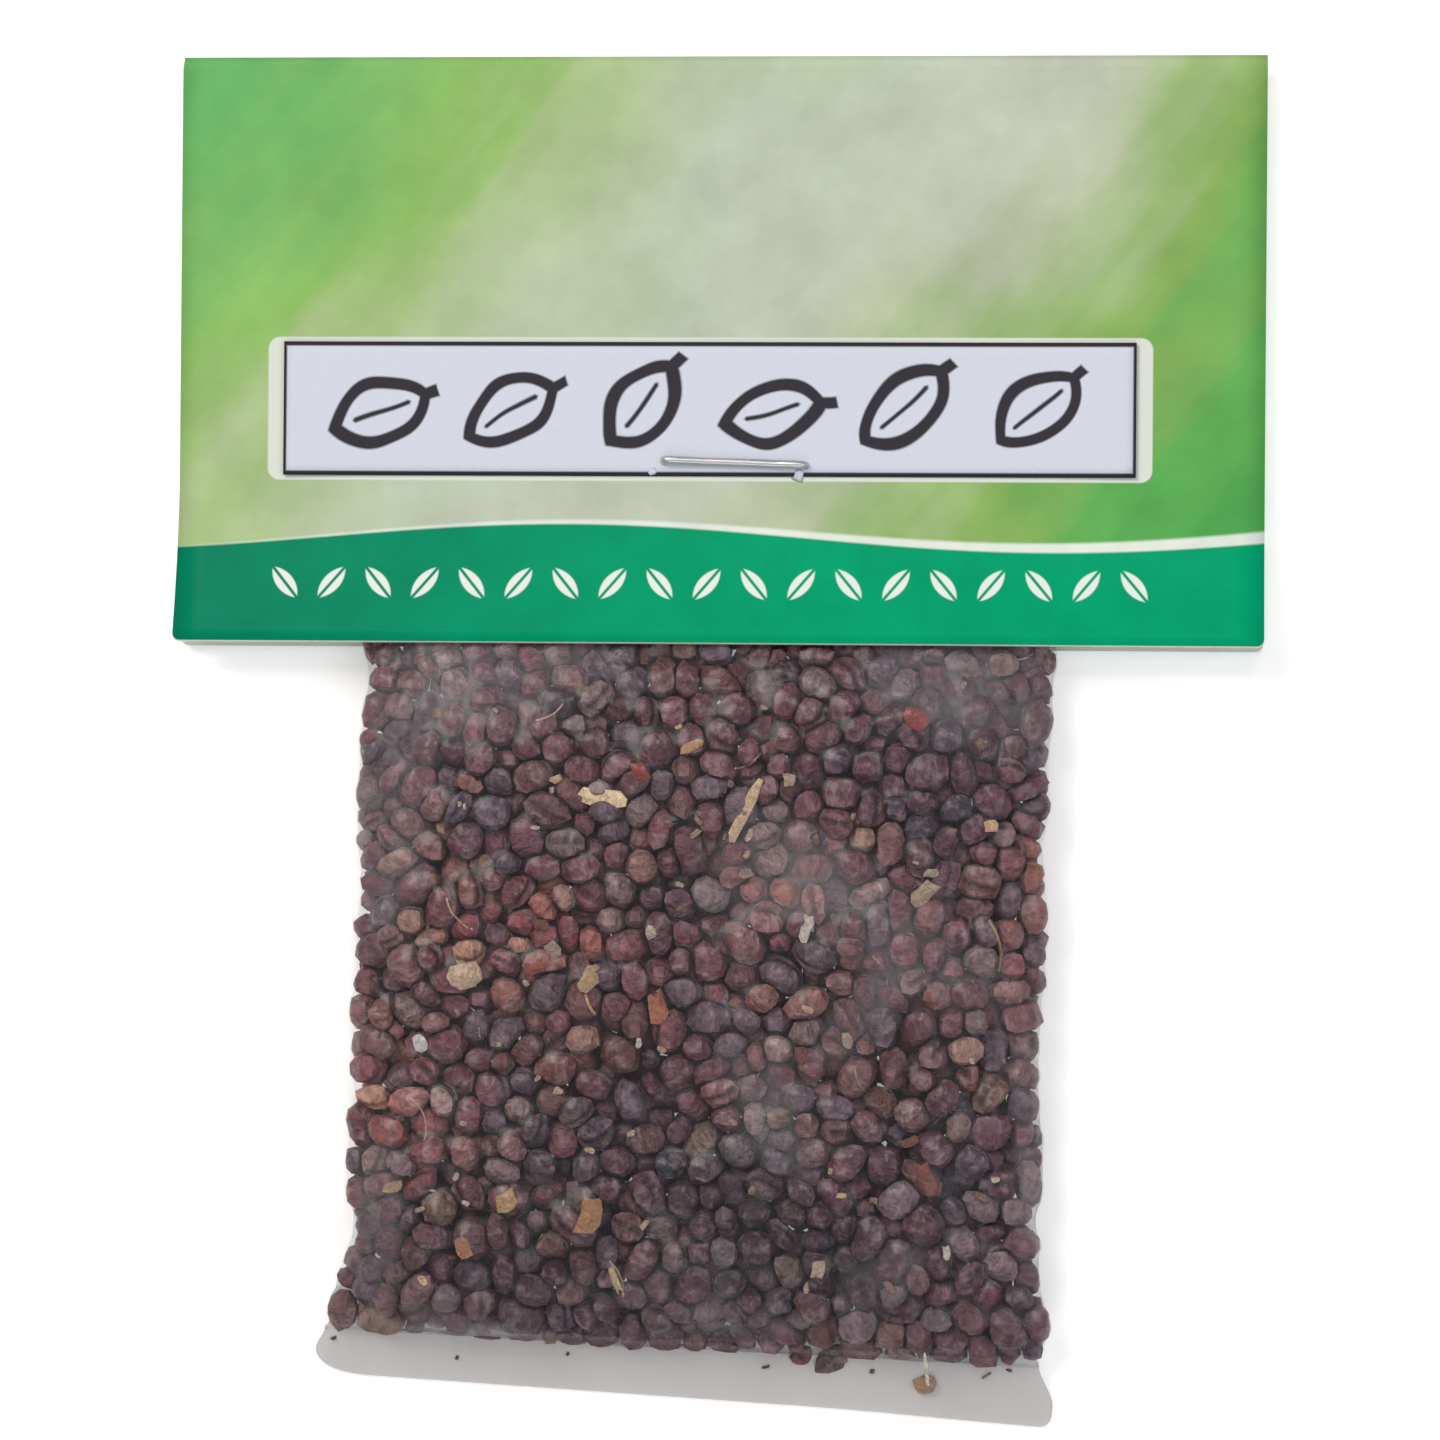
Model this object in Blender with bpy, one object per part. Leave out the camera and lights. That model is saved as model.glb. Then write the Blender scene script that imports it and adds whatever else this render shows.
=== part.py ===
"""Retail packet of cardamom seeds, lying on its back.

A clear film bag holds the loose seeds. A folded header card closes the bag's mouth, and one wire
staple pins a paper label, the card's two panels and the bag's neck together.

Lengths are in metres. +X runs across the packet, +Y from the bag's foot to the card's fold, and +Z
up from the table. The origin is on the table, under the middle of the packet's outline.
"""

import math
import random

import bmesh
import bpy
from mathutils import Matrix, Vector

MM = 0.001

# Clearance between pieces that touch
CLEARANCE = 0.2 * MM

# Header card: one sheet, folded over the bag's mouth
CARD_WIDTH = 90 * MM
CARD_SHEET = 0.4 * MM
FOLD_Y = 56.8 * MM
FRONT_EDGE_Y = 8.0 * MM
BACK_EDGE_Y = 7.7 * MM
CARD_CORNER = 1.0 * MM

# Label: a cut strip of paper on the front panel
LABEL_WIDTH = 70.7 * MM
LABEL_HEIGHT = 11.1 * MM
LABEL_SHEET = 0.2 * MM
LABEL_X = -0.9 * MM
LABEL_FOOT_Y = 21.9 * MM

# Staple: round wire, its crown in front and its legs clinched behind
WIRE = 0.5 * MM
CROWN_WIDTH = 12.4 * MM
STAPLE_X = 1.2 * MM
STAPLE_Y = 22.7 * MM
WIRE_BEND = 0.45 * MM
CLINCH_LENGTH = 4.6 * MM
CLINCH_Z = 0.3 * MM
CLINCH_GAP = 0.15 * MM
LEG_HOLE = 0.9 * MM

# Bag: a flat tube of film, sealed at its foot and open at its mouth
FILM = 0.2 * MM
MOUTH_SLOT = 0.25 * MM
BAG_STEPS = 12
MOUTH_Y = 52.8 * MM
FLAT_HALF = 30.4 * MM
SEAM_Y = -49.9 * MM
FOOT_SLANT = 0.45 * MM
FLANGE = 4.9 * MM
FLANGE_SLANT = 0.55 * MM
FLANGE_CORNER = 2.2 * MM
FLANGE_END_Z = 0.6 * MM
FLANGE_STATIONS = (1, 0.91, 0.74, 0.48, 0.2, 0)
SEAM_TAPER = 3 * MM
BAG_LEAN = math.radians(-1.2)
BAG_SHIFT = -0.35 * MM

# Filled part of the bag
FILL_HALF = 28.9 * MM
WAIST_FOOT = 8 * MM
WAIST_TOP = 14 * MM
FILL_HEIGHT = 8.0 * MM
RIM_Z = 3.0 * MM
TOP_SIDE = 10 * MM
TOP_FOOT = 9 * MM
BASE_SIDE = 6.5 * MM
BASE_FOOT = 7 * MM
BEND_Y = 21.7 * MM
SHOULDER = 24 * MM
BASE_LIFT_Y = -0.4 * MM
BASE_LIFT = 6.6 * MM
RIM_SINK_Y = 2.8 * MM
SCALLOP = 0.5 * MM

# Seeds: rows of raised cells round the fill, each a little larger than life
SEEDS_ROUND = 32
SEED_ROWS = 20
SEEDS_TOP_Y = 9.2 * MM
SEED_RISE = 0.8 * MM
SEED_DOME = 0.35 * MM
SEED_SINK = 0.4 * MM
SEED_CREVICE = 0.65 * MM
SEED_JITTER = 0.34 * MM
SEED_TILT = math.radians(10)
SEED_SWAY = 1 / 6
SEED_DROP = 0.25 * MM
SEED_SWIRL = 0.45 * MM
SWIRL_SPAN = 6.1 * MM
SWIRL_TURN = 1.3
SEED_DEPTH = FILM + SEED_SINK + SEED_DOME + SEED_RISE

# Heights of the stack at the staple, from the table up
BACK_PANEL_Z = CLINCH_Z + WIRE / 2 + CLINCH_GAP
NECK_BASE_Z = BACK_PANEL_Z + CARD_SHEET + CLEARANCE
NECK_HALF = FILM + MOUTH_SLOT / 2
NECK_Z = NECK_BASE_Z + NECK_HALF
NECK_TOP_Z = NECK_Z + NECK_HALF
FRONT_PANEL_Z = NECK_TOP_Z + CLEARANCE
LABEL_Z = FRONT_PANEL_Z + CARD_SHEET + CLEARANCE
CROWN_Z = LABEL_Z + LABEL_SHEET + CLEARANCE + WIRE / 2


def clamp(value):
    """value held between 0 and 1."""
    return min(max(value, 0.0), 1.0)


def ease(share):
    """A smooth step from 0 to 1."""
    share = clamp(share)
    return share * share * (3 - 2 * share)


def dome(share):
    """A quarter round from 0, upright, to 1, level."""
    return math.sqrt(1 - (1 - clamp(share)) ** 2)


def between(low, high, share):
    """The value that share of the way from low to high."""
    return low + (high - low) * share


def rim_height(y):
    """Height of the bag's side edges, which droop at the foot and sink to the neck."""
    foot = SEAM_Y - FLANGE
    droop = ease((y - foot) / (2 * FLANGE))
    sink = ease((y - RIM_SINK_Y) / (BEND_Y - RIM_SINK_Y))
    return between(between(FLANGE_END_Z, RIM_Z, droop), NECK_Z, sink)


def half_width(y):
    """Half the bag's width: the filled part draws in, and the flange has round corners."""
    swell = ease((y - SEAM_Y) / WAIST_FOOT) * ease((BEND_Y - y) / WAIST_TOP)
    corner = clamp(1 - (y - SEAM_Y + FLANGE) / FLANGE_CORNER)
    return between(FLAT_HALF, FILL_HALF, swell) - FLANGE_CORNER * (1 - math.sqrt(1 - corner**2))


def crest_height(y):
    """Height of the bag's top along its middle line: level on the fill, falling to the neck."""
    return between(NECK_TOP_Z, FILL_HEIGHT, ease((BEND_Y - y) / SHOULDER))


def base_height(y):
    """Height of the bag's underside along its middle: on the table, then on the back panel."""
    return between(0, NECK_BASE_Z, ease((y - BASE_LIFT_Y) / BASE_LIFT))


def skin(x, y, half=None, wall=0.0):
    """Heights of the bag's top and underside at x and y, of a shape drawn in by wall all round."""
    from_side = (half or half_width(y)) - wall - abs(x)
    from_seam = y - SEAM_Y - wall
    edge = between(FILM, NECK_HALF, ease(from_seam / SEAM_TAPER + 1))
    top_share = dome(from_side / TOP_SIDE) * dome(from_seam / TOP_FOOT)
    base_share = dome(from_side / BASE_SIDE) * dome(from_seam / BASE_FOOT)
    top = between(rim_height(y) + edge, crest_height(y), top_share)
    base = between(rim_height(y) - edge, base_height(y), base_share)
    return top - wall, base + wall


def section(y, steps, wall=0.0, bulge=0.0, depth=0.0):
    """The outline across X at y, from left to right over the top and back along the underside.

    wall draws the shape in all round, bulge swells its sides, and depth sinks it into the fill.
    """
    half = half_width(y) + bulge
    reach = half - wall - depth
    across = [reach * math.sin(math.pi * (step / steps - 0.5)) for step in range(steps + 1)]
    heights = [skin(x, y, half, wall) for x in across]
    top = [Vector((x, y, high - depth)) for x, (high, low) in zip(across, heights)]
    base = [Vector((x, y, low + depth)) for x, (high, low) in zip(across, heights)]
    return top + base[::-1]


def slanted(solid):
    """Drops the right end of the bag's foot, and of the flange below it, to the real slant."""
    for vert in solid.verts:
        share = clamp((BASE_LIFT_Y - vert.co.y) / (BASE_LIFT_Y - SEAM_Y))
        flange = clamp((SEAM_Y - vert.co.y) / FLANGE)
        vert.co.y -= (FOOT_SLANT * share + FLANGE_SLANT * flange) * vert.co.x / FLAT_HALF
    return solid


def resampled(ring, count):
    """count points spread evenly along a closed ring."""
    closed = ring + ring[:1]
    lengths = [(b - a).length for a, b in zip(closed, closed[1:])]
    spacing = sum(lengths) / count
    points = []
    for index in range(count):
        left = index * spacing
        leg = 0
        while leg < len(lengths) - 1 and left > lengths[leg]:
            left -= lengths[leg]
            leg += 1
        points.append(closed[leg].lerp(closed[leg + 1], left / lengths[leg]))
    return points


def finish(name, colour, roughness, metallic=0.0, alpha=1.0):
    """A plain finish in linear colour."""
    material = bpy.data.materials.new(name)
    material.use_nodes = True
    shader = material.node_tree.nodes["Principled BSDF"]
    shader.inputs["Base Color"].default_value = (*colour, 1)
    shader.inputs["Roughness"].default_value = roughness
    shader.inputs["Metallic"].default_value = metallic
    shader.inputs["Alpha"].default_value = alpha
    return material


def placed(name, mesh, parent=None, material=None):
    """A new object that shows mesh."""
    if isinstance(mesh, bmesh.types.BMesh):
        shape = bpy.data.meshes.new(name)
        mesh.to_mesh(shape)
        mesh.free()
        mesh = shape
    piece = bpy.data.objects.new(name, mesh)
    piece.parent = parent
    if material:
        piece.data.materials.append(material)
    bpy.context.collection.objects.link(piece)
    return piece


def lofted(rings):
    """A closed solid through rings of equal length, with a strip of quads across each end."""
    solid = bmesh.new()
    loops = [[solid.verts.new(point) for point in ring] for ring in rings]
    count = len(loops[0])
    for low, high in zip(loops, loops[1:]):
        for k in range(count):
            follow = (k + 1) % count
            solid.faces.new((low[k], high[k], high[follow], low[follow]))
    for loop in (loops[0], loops[-1]):
        close_end(solid, loop)
    bmesh.ops.recalc_face_normals(solid, faces=solid.faces)
    return solid


def close_end(solid, loop):
    """Joins the top half of a flat loop to its underside, quad by quad."""
    count = len(loop)
    for k in range(count // 2 - 1):
        solid.faces.new((loop[k], loop[k + 1], loop[count - 2 - k], loop[count - 1 - k]))


def bag_stations():
    """The places along Y of the bag's rings, each with how far its sides bulge over a seed."""
    stations = [(SEAM_Y - FLANGE * share, 0.0) for share in FLANGE_STATIONS]
    pitch = (SEEDS_TOP_Y - SEAM_Y) / (2 * SEED_ROWS)
    stations += [(SEAM_Y + pitch * k, SCALLOP * (k % 2)) for k in range(1, 2 * SEED_ROWS + 1)]
    stations += [(between(SEEDS_TOP_Y, BEND_Y, k / 4), 0.0) for k in (1, 2, 3, 4)]
    stations += [(between(BEND_Y, MOUTH_Y, 0.1), 0.0), (MOUTH_Y, 0.0)]
    return stations


def cavity_stations():
    """The places along Y of the cavity's rings: close at the foot, where the bag is steep."""
    steep = SEAM_Y + TOP_FOOT
    inside = [y + FILM for y, bulge in bag_stations() if SEAM_Y <= y < steep]
    inside += [y for y, bulge in bag_stations() if y >= steep and bulge == 0]
    inside[-1] += FILM
    return inside


def cutter(name, mesh, parent=None):
    """A shape that only cuts others."""
    tool = placed(name, mesh, parent)
    tool.hide_render = True
    tool.display_type = "WIRE"
    return tool


def cut(piece, tool):
    """Takes tool's shape out of piece."""
    boolean = piece.modifiers.new(tool.name, "BOOLEAN")
    boolean.operation = "DIFFERENCE"
    boolean.object = tool


def leg_cutters():
    """Two upright pins, where the staple's legs pass through card, label and film."""
    tools = []
    for side in (-1, 1):
        pin = bmesh.new()
        bmesh.ops.create_cone(
            pin,
            cap_ends=True,
            segments=10,
            radius1=LEG_HOLE / 2,
            radius2=LEG_HOLE / 2,
            depth=2 * FILL_HEIGHT,
            matrix=Matrix.Translation((STAPLE_X + side * (CROWN_WIDTH - WIRE) / 2, STAPLE_Y, 0)),
        )
        tools.append(cutter(f"leg_pin_{side}", pin))
    return tools


def film_bag(parent, legs):
    """The clear bag: a thin wall round the seeds, a sealed flange at its foot and an open mouth."""
    outer = slanted(lofted([section(y, BAG_STEPS, bulge=bulge) for y, bulge in bag_stations()]))
    clear = finish("clear_film", (0.85, 0.86, 0.87), 0.15, alpha=0.3)
    bag = placed("film_bag", outer, parent, clear)
    cavity = slanted(lofted([section(y, BAG_STEPS, wall=FILM) for y in cavity_stations()]))
    cut(bag, cutter("bag_cavity", cavity, parent))
    for leg in legs:
        cut(bag, leg)
    return bag


def seed_rings():
    """Zigzag rings of points in the crevices between the rows of seeds."""
    chance = random.Random(7)
    foot = SEAM_Y + SEED_DEPTH
    pitch = (SEEDS_TOP_Y - foot) / SEED_ROWS
    rings = []
    for row in range(SEED_ROWS + 1):
        line = foot + pitch * row
        inner = 0 < row < SEED_ROWS
        outline = section(line, 2 * BAG_STEPS, depth=SEED_DEPTH)
        ring = []
        for k, point in enumerate(resampled(outline, 2 * SEEDS_ROUND)):
            zigzag = SEED_SWAY * pitch * (1 if (k + row) % 2 == 0 else -1)
            swirl = SEED_SWIRL * math.sin(point.x / SWIRL_SPAN + SWIRL_TURN * row)
            sway = SEED_SWIRL * math.sin(line / SWIRL_SPAN + point.x / (2 * SWIRL_SPAN))
            y = line + (zigzag + swirl + chance.uniform(-1, 1) * SEED_JITTER) * inner
            x = point.x + (sway + chance.uniform(-1, 1) * SEED_JITTER) * inner
            ring.append(in_crevice(x, y, point))
        rings.append(ring)
    return rings


def in_crevice(x, y, like):
    """The point at x and y in the crevices, on the same face of the fill as the point like."""
    half = half_width(y) - SEED_DEPTH
    x = min(max(x, -half), half)
    top, base = skin(x, y)
    upper = like.z >= sum(skin(like.x, like.y)) / 2
    return Vector((x, y, top - SEED_DEPTH if upper else base + SEED_DEPTH))


def on_section(x, y, depth, like):
    """The point at x and y sunk into the fill by depth, on the same face as the point like."""
    half = half_width(y) - depth
    x = min(max(x, -half), half)
    top, base = skin(x, y)
    return Vector((x, y, top - depth if like.z >= sum(skin(like.x, like.y)) / 2 else base + depth))


def seed_fill(parent):
    """The loose seeds as one body: every cell between the rings stands out as a seed."""
    fill = bmesh.new()
    rings = [[fill.verts.new(point) for point in ring] for ring in seed_rings()]
    count = len(rings[0])
    for row, (low, high) in enumerate(zip(rings, rings[1:])):
        for k in range(count):
            if (k + row) % 2 == 1:
                after = (k + 1) % count
                corners = (low[k - 1], high[k - 1], high[k], high[after], low[after], low[k])
                fill.faces.new(corners)
    seeds = list(fill.faces)
    for ring in (rings[0], rings[-1]):
        close_end(fill, ring)
    bmesh.ops.recalc_face_normals(fill, faces=fill.faces)
    bmesh.ops.inset_individual(fill, faces=seeds, thickness=SEED_CREVICE, depth=SEED_RISE)
    tilt_seeds(fill, seeds)
    bmesh.ops.poke(fill, faces=seeds, offset=SEED_DOME, center_mode="MEAN")
    bmesh.ops.triangulate(fill, faces=fill.faces)
    slanted(fill)
    return placed("seed_fill", fill, parent, finish("seed_coat", (0.085, 0.045, 0.04), 0.7))


def tilt_seeds(fill, seeds):
    """Tips each seed's top a little its own way and sinks it a little."""
    chance = random.Random(11)
    for seed in seeds:
        middle = seed.calc_center_median()
        normal = seed.normal.copy()
        across = normal.orthogonal()
        across.rotate(Matrix.Rotation(chance.uniform(0, math.tau), 3, normal))
        tilt = Matrix.Rotation(chance.uniform(-1, 1) * SEED_TILT, 3, across)
        bmesh.ops.rotate(fill, verts=seed.verts, cent=middle, matrix=tilt)
        bmesh.ops.translate(fill, verts=seed.verts, vec=normal * -chance.uniform(0, SEED_DROP))


def card_line():
    """The middle of the folded sheet, from the back panel's lower edge to the front panel's."""
    back = BACK_PANEL_Z + CARD_SHEET / 2
    front = FRONT_PANEL_Z + CARD_SHEET / 2
    radius = (front - back) / 2
    centre_y = FOLD_Y - CARD_SHEET / 2 - radius
    line = [(BACK_EDGE_Y, back)]
    for step in range(9):
        turn = math.pi * (step / 8 - 0.5)
        line.append((centre_y + radius * math.cos(turn), back + radius + radius * math.sin(turn)))
    for step in range(11):
        y = between(BEND_Y, FRONT_EDGE_Y, step / 10)
        line.append((y, crest_height(y) + CLEARANCE + CARD_SHEET / 2))
    return line


def header_card(parent, legs):
    """The folded card: a flat back panel, and a front panel that rides up over the seeds."""
    card = bmesh.new()
    half = CARD_WIDTH / 2
    left = [card.verts.new((-half, y, z)) for y, z in card_line()]
    right = [card.verts.new((half, y, z)) for y, z in card_line()]
    for k in range(len(left) - 1):
        card.faces.new((left[k], right[k], right[k + 1], left[k + 1]))
    corners = [left[0], right[0], left[-1], right[-1]]
    bmesh.ops.bevel(
        card, geom=corners, offset=CARD_CORNER, affect="VERTICES", segments=3, profile=0.5, material=-1
    )
    bmesh.ops.recalc_face_normals(card, faces=card.faces)
    sheet = placed("header_card", card, parent, finish("printed_card", (0.24, 0.46, 0.13), 0.5))
    wall = sheet.modifiers.new("sheet", "SOLIDIFY")
    wall.thickness = CARD_SHEET
    wall.offset = 0
    wall.use_even_offset = True
    for leg in legs:
        cut(sheet, leg)
    return sheet


def paper_label(parent, legs):
    """The strip of white paper under the staple."""
    strip = bmesh.new()
    centre = (LABEL_X, LABEL_FOOT_Y + LABEL_HEIGHT / 2, LABEL_Z + LABEL_SHEET / 2)
    size = Matrix.Diagonal((LABEL_WIDTH, LABEL_HEIGHT, LABEL_SHEET, 1))
    bmesh.ops.create_cube(strip, size=1, matrix=Matrix.Translation(centre) @ size)
    label = placed("paper_label", strip, parent, finish("white_paper", (0.72, 0.71, 0.76), 0.6))
    for leg in legs:
        cut(label, leg)
    return label


def bend_points(corner, first, second):
    """Points round one bend of the wire, from the way it comes in to the way it goes out."""
    points = []
    for step in range(5):
        turn = math.pi / 2 * step / 4
        along = WIRE_BEND * (1 - math.sin(turn))
        beyond = WIRE_BEND * (1 - math.cos(turn))
        points.append(corner - first * along + second * beyond)
    return points


def staple_line():
    """The wire's middle line: one clinched leg, the crown, the other leg."""
    reach = (CROWN_WIDTH - WIRE) / 2
    down = Vector((0, 0, -1))
    right = Vector((1, 0, 0))
    low = [Vector((side * reach, 0, CLINCH_Z)) for side in (-1, 1)]
    high = [Vector((side * reach, 0, CROWN_Z)) for side in (-1, 1)]
    line = [low[0] + right * CLINCH_LENGTH]
    line += bend_points(low[0], -right, -down)
    line += bend_points(high[0], -down, right)
    line += bend_points(high[1], right, down)
    line += bend_points(low[1], down, -right)
    line.append(low[1] - right * CLINCH_LENGTH)
    return line


def wire_staple(parent):
    """The staple, as a round wire along its line."""
    curve = bpy.data.curves.new("wire_staple", "CURVE")
    curve.dimensions = "3D"
    curve.bevel_depth = WIRE / 2
    curve.bevel_resolution = 2
    curve.use_fill_caps = True
    line = staple_line()
    spline = curve.splines.new("POLY")
    spline.points.add(len(line) - 1)
    for point, place in zip(spline.points, line):
        point.co = (*place, 1)
    steel = finish("zinc_wire", (0.62, 0.61, 0.6), 0.3, 1.0)
    staple = placed("wire_staple", curve, parent, steel)
    staple.location = (STAPLE_X, STAPLE_Y, 0)
    return staple


def round_off(piece):
    """Shades a piece smooth, but for its sharp edges."""
    piece.data.shade_smooth()
    piece.data.set_sharp_from_angle(angle=math.radians(35))


def main():
    for thing in list(bpy.data.objects):
        bpy.data.objects.remove(thing)
    bag_axis = placed("bag_axis", None)
    bag_axis.matrix_world = (
        Matrix.Translation((BAG_SHIFT, STAPLE_Y, 0))
        @ Matrix.Rotation(BAG_LEAN, 4, "Z")
        @ Matrix.Translation((0, -STAPLE_Y, 0))
    )
    legs = leg_cutters()
    bag = film_bag(bag_axis, legs)
    seed_fill(bag_axis)
    card = header_card(None, legs)
    paper_label(None, legs)
    wire_staple(None)
    for piece in (bag, card):
        round_off(piece)


main()
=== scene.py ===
"""Looks of a retail packet of cardamom seeds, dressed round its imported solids.

The packet lies on its back. Loose seeds and crumbs of husk fill a clear film bag, and the film is
drawn tight over them. A folded, printed card closes the bag's mouth, under a paper label and one
wire staple. Lengths are in metres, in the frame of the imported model: +X across the packet, +Y from
the bag's foot to the card's fold, +Z up from the table.
"""

from __future__ import annotations

import logging
import math
import random
from dataclasses import dataclass
from enum import Enum
from functools import partial
from typing import Callable, Iterable, Optional, Sequence, Union

import bmesh
import bpy
import numpy as np
from mathutils import Matrix, Vector
from mathutils.bvhtree import BVHTree


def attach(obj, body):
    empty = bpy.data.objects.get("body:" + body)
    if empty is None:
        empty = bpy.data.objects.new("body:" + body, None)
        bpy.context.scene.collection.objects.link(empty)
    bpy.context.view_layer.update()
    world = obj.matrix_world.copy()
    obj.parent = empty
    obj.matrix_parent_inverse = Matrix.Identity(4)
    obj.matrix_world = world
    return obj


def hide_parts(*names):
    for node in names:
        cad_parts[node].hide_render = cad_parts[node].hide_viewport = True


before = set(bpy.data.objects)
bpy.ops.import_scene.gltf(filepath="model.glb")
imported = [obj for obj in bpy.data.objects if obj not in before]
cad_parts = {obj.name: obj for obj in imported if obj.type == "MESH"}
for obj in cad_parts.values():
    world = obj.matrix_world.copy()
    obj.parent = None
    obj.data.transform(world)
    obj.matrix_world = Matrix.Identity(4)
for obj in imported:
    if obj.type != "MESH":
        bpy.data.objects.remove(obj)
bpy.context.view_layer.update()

log = logging.getLogger("packet")

MM = 0.001
UP = Vector((0, 0, 1))
DOWN = Vector((0, 0, -1))

# Settings of a Mix node that lays one colour over another, and of one that shades a colour
INK = {"data_type": "RGBA"}
SHADED = {"data_type": "RGBA", "blend_type": "MULTIPLY"}

Number = Union[float, np.ndarray]
Source = Union[bpy.types.Node, bpy.types.NodeSocket, float, tuple, str]
Adder = Callable[..., bpy.types.Node]


def ease(share: Number) -> Number:
    """A smooth step from 0 to 1."""
    share = np.clip(share, 0.0, 1.0)
    return share * share * (3 - 2 * share)


def dome(share: Number) -> Number:
    """A quarter round from 0, upright, to 1, level."""
    return np.sqrt(1 - (1 - np.clip(share, 0.0, 1.0)) ** 2)


def between(low: Number, high: Number, share: Number) -> Number:
    """The value that share of the way from low to high."""
    return low + (high - low) * share


def linear(colour: str) -> tuple:
    """Turns an sRGB hex colour, such as "a0b1c2", to linear red, green, blue and alpha."""
    levels = [int(colour[k : k + 2], 16) / 255 for k in (0, 2, 4)]
    return (*[v / 12.92 if v <= 0.04045 else ((v + 0.055) / 1.055) ** 2.4 for v in levels], 1.0)


def add_node(tree: bpy.types.NodeTree, kind: str, *terms: Source, **settings: Source) -> bpy.types.Node:
    """Adds one shader node.

    Args:
        tree: the node tree that it goes into.
        kind: its type name without the ShaderNode in front, then its operation if it has one.
        terms: what its live inputs take, in their order: a node, for that node's first live
            output, an output, a value or a hex colour.
        settings: the same for inputs by name, with a capital in front and _ for a space, and the
            node's own properties, in small letters.

    Returns:
        The new node.
    """
    kind, _, operation = kind.partition(" ")
    node = tree.nodes.new(f"ShaderNode{kind}")
    own = {name: value for name, value in settings.items() if name.islower()}
    if operation:
        own["operation"] = operation
    for name, value in own.items():
        setattr(node, name, value)
    live = [socket for socket in node.inputs if socket.enabled]
    named = [(node.inputs[name.replace("_", " ")], settings[name]) for name in settings if name not in own]
    for socket, given in [*zip(live, terms), *named]:
        if isinstance(given, bpy.types.Node):
            given = next(output for output in given.outputs if output.enabled)
        if isinstance(given, bpy.types.NodeSocket):
            tree.links.new(given, socket)
        else:
            socket.default_value = linear(given) if isinstance(given, str) else given
    return node


def blank_material(name: str) -> tuple[bpy.types.Material, Adder]:
    """Makes a material whose tree holds nothing but its output.

    Args:
        name: the material's name.

    Returns:
        The material, and add_node for its tree.
    """
    material = bpy.data.materials.new(name)
    material.use_nodes = True
    tree = material.node_tree
    for node in list(tree.nodes):
        if node.type != "OUTPUT_MATERIAL":
            tree.nodes.remove(node)
    return material, partial(add_node, tree)


def surface_of(material: bpy.types.Material, shader: bpy.types.Node) -> bpy.types.Material:
    """Joins a shader to the material's output."""
    tree = material.node_tree
    tree.links.new(shader.outputs[0], tree.nodes["Material Output"].inputs["Surface"])
    return material


def ramp_of(node: bpy.types.Node, stops: Sequence[tuple[float, str]]) -> bpy.types.Node:
    """Fills a colour ramp.

    Args:
        node: the ramp.
        stops: its stops, each a place and a hex colour.

    Returns:
        The ramp.
    """
    ramp = node.color_ramp
    while len(ramp.elements) > 1:
        ramp.elements.remove(ramp.elements[0])
    for index, (place, colour) in enumerate(stops):
        stop = ramp.elements[0] if index == 0 else ramp.elements.new(place)
        stop.position = place
        stop.color = linear(colour)
    return node


def once(items: Iterable) -> list:
    """Each item once, in the order in which they first come, so that every run is the same."""
    return list(dict.fromkeys(items))


def piece_of(
    name: str,
    shape: bmesh.types.BMesh,
    materials: Iterable[bpy.types.Material],
    stands_for: Sequence[str] = (),
) -> bpy.types.Object:
    """Makes a piece of the packet from a finished bmesh, and frees the bmesh.

    Args:
        name: the object's name.
        shape: its shape, in the packet's frame.
        materials: its materials, in the order of the faces' material indices.
        stands_for: the CAD nodes that it replaces.

    Returns:
        The object, riding on the packet's one body.
    """
    mesh = bpy.data.meshes.new(name)
    shape.to_mesh(mesh)
    shape.free()
    mesh.shade_smooth()
    piece = bpy.data.objects.new(name, mesh)
    bpy.context.scene.collection.objects.link(piece)
    for material in materials:
        mesh.materials.append(material)
    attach(piece, "root")
    if stands_for:
        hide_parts(*stands_for)
    return piece


def mapped(shape: bmesh.types.BMesh, foot: float) -> bmesh.types.BMLayerItem:
    """Gives a flat sheet its own UV map, a tenth of a metre to the unit, from its middle line.

    Args:
        shape: the sheet, lying flat.
        foot: the map's height where y is 0.

    Returns:
        The map's layer.
    """
    layer = shape.loops.layers.uv.new("sheet")
    for face in shape.faces:
        for loop in face.loops:
            loop[layer].uv = (loop.vert.co.x * 10 + 0.5, loop.vert.co.y * 10 + foot)
    return layer


def facing_up(shape: bmesh.types.BMesh, top: bmesh.types.BMFace) -> None:
    """Turns the whole sheet over where its top face looks down."""
    if top.normal.z < 0:
        bmesh.ops.reverse_faces(shape, faces=shape.faces)


def stood_up(piece: bpy.types.Object, place: Sequence[float], aim: Matrix) -> None:
    """Links an object of the stage into the scene at its place."""
    bpy.context.scene.collection.objects.link(piece)
    piece.matrix_world = Matrix.Translation(place) @ aim


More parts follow.
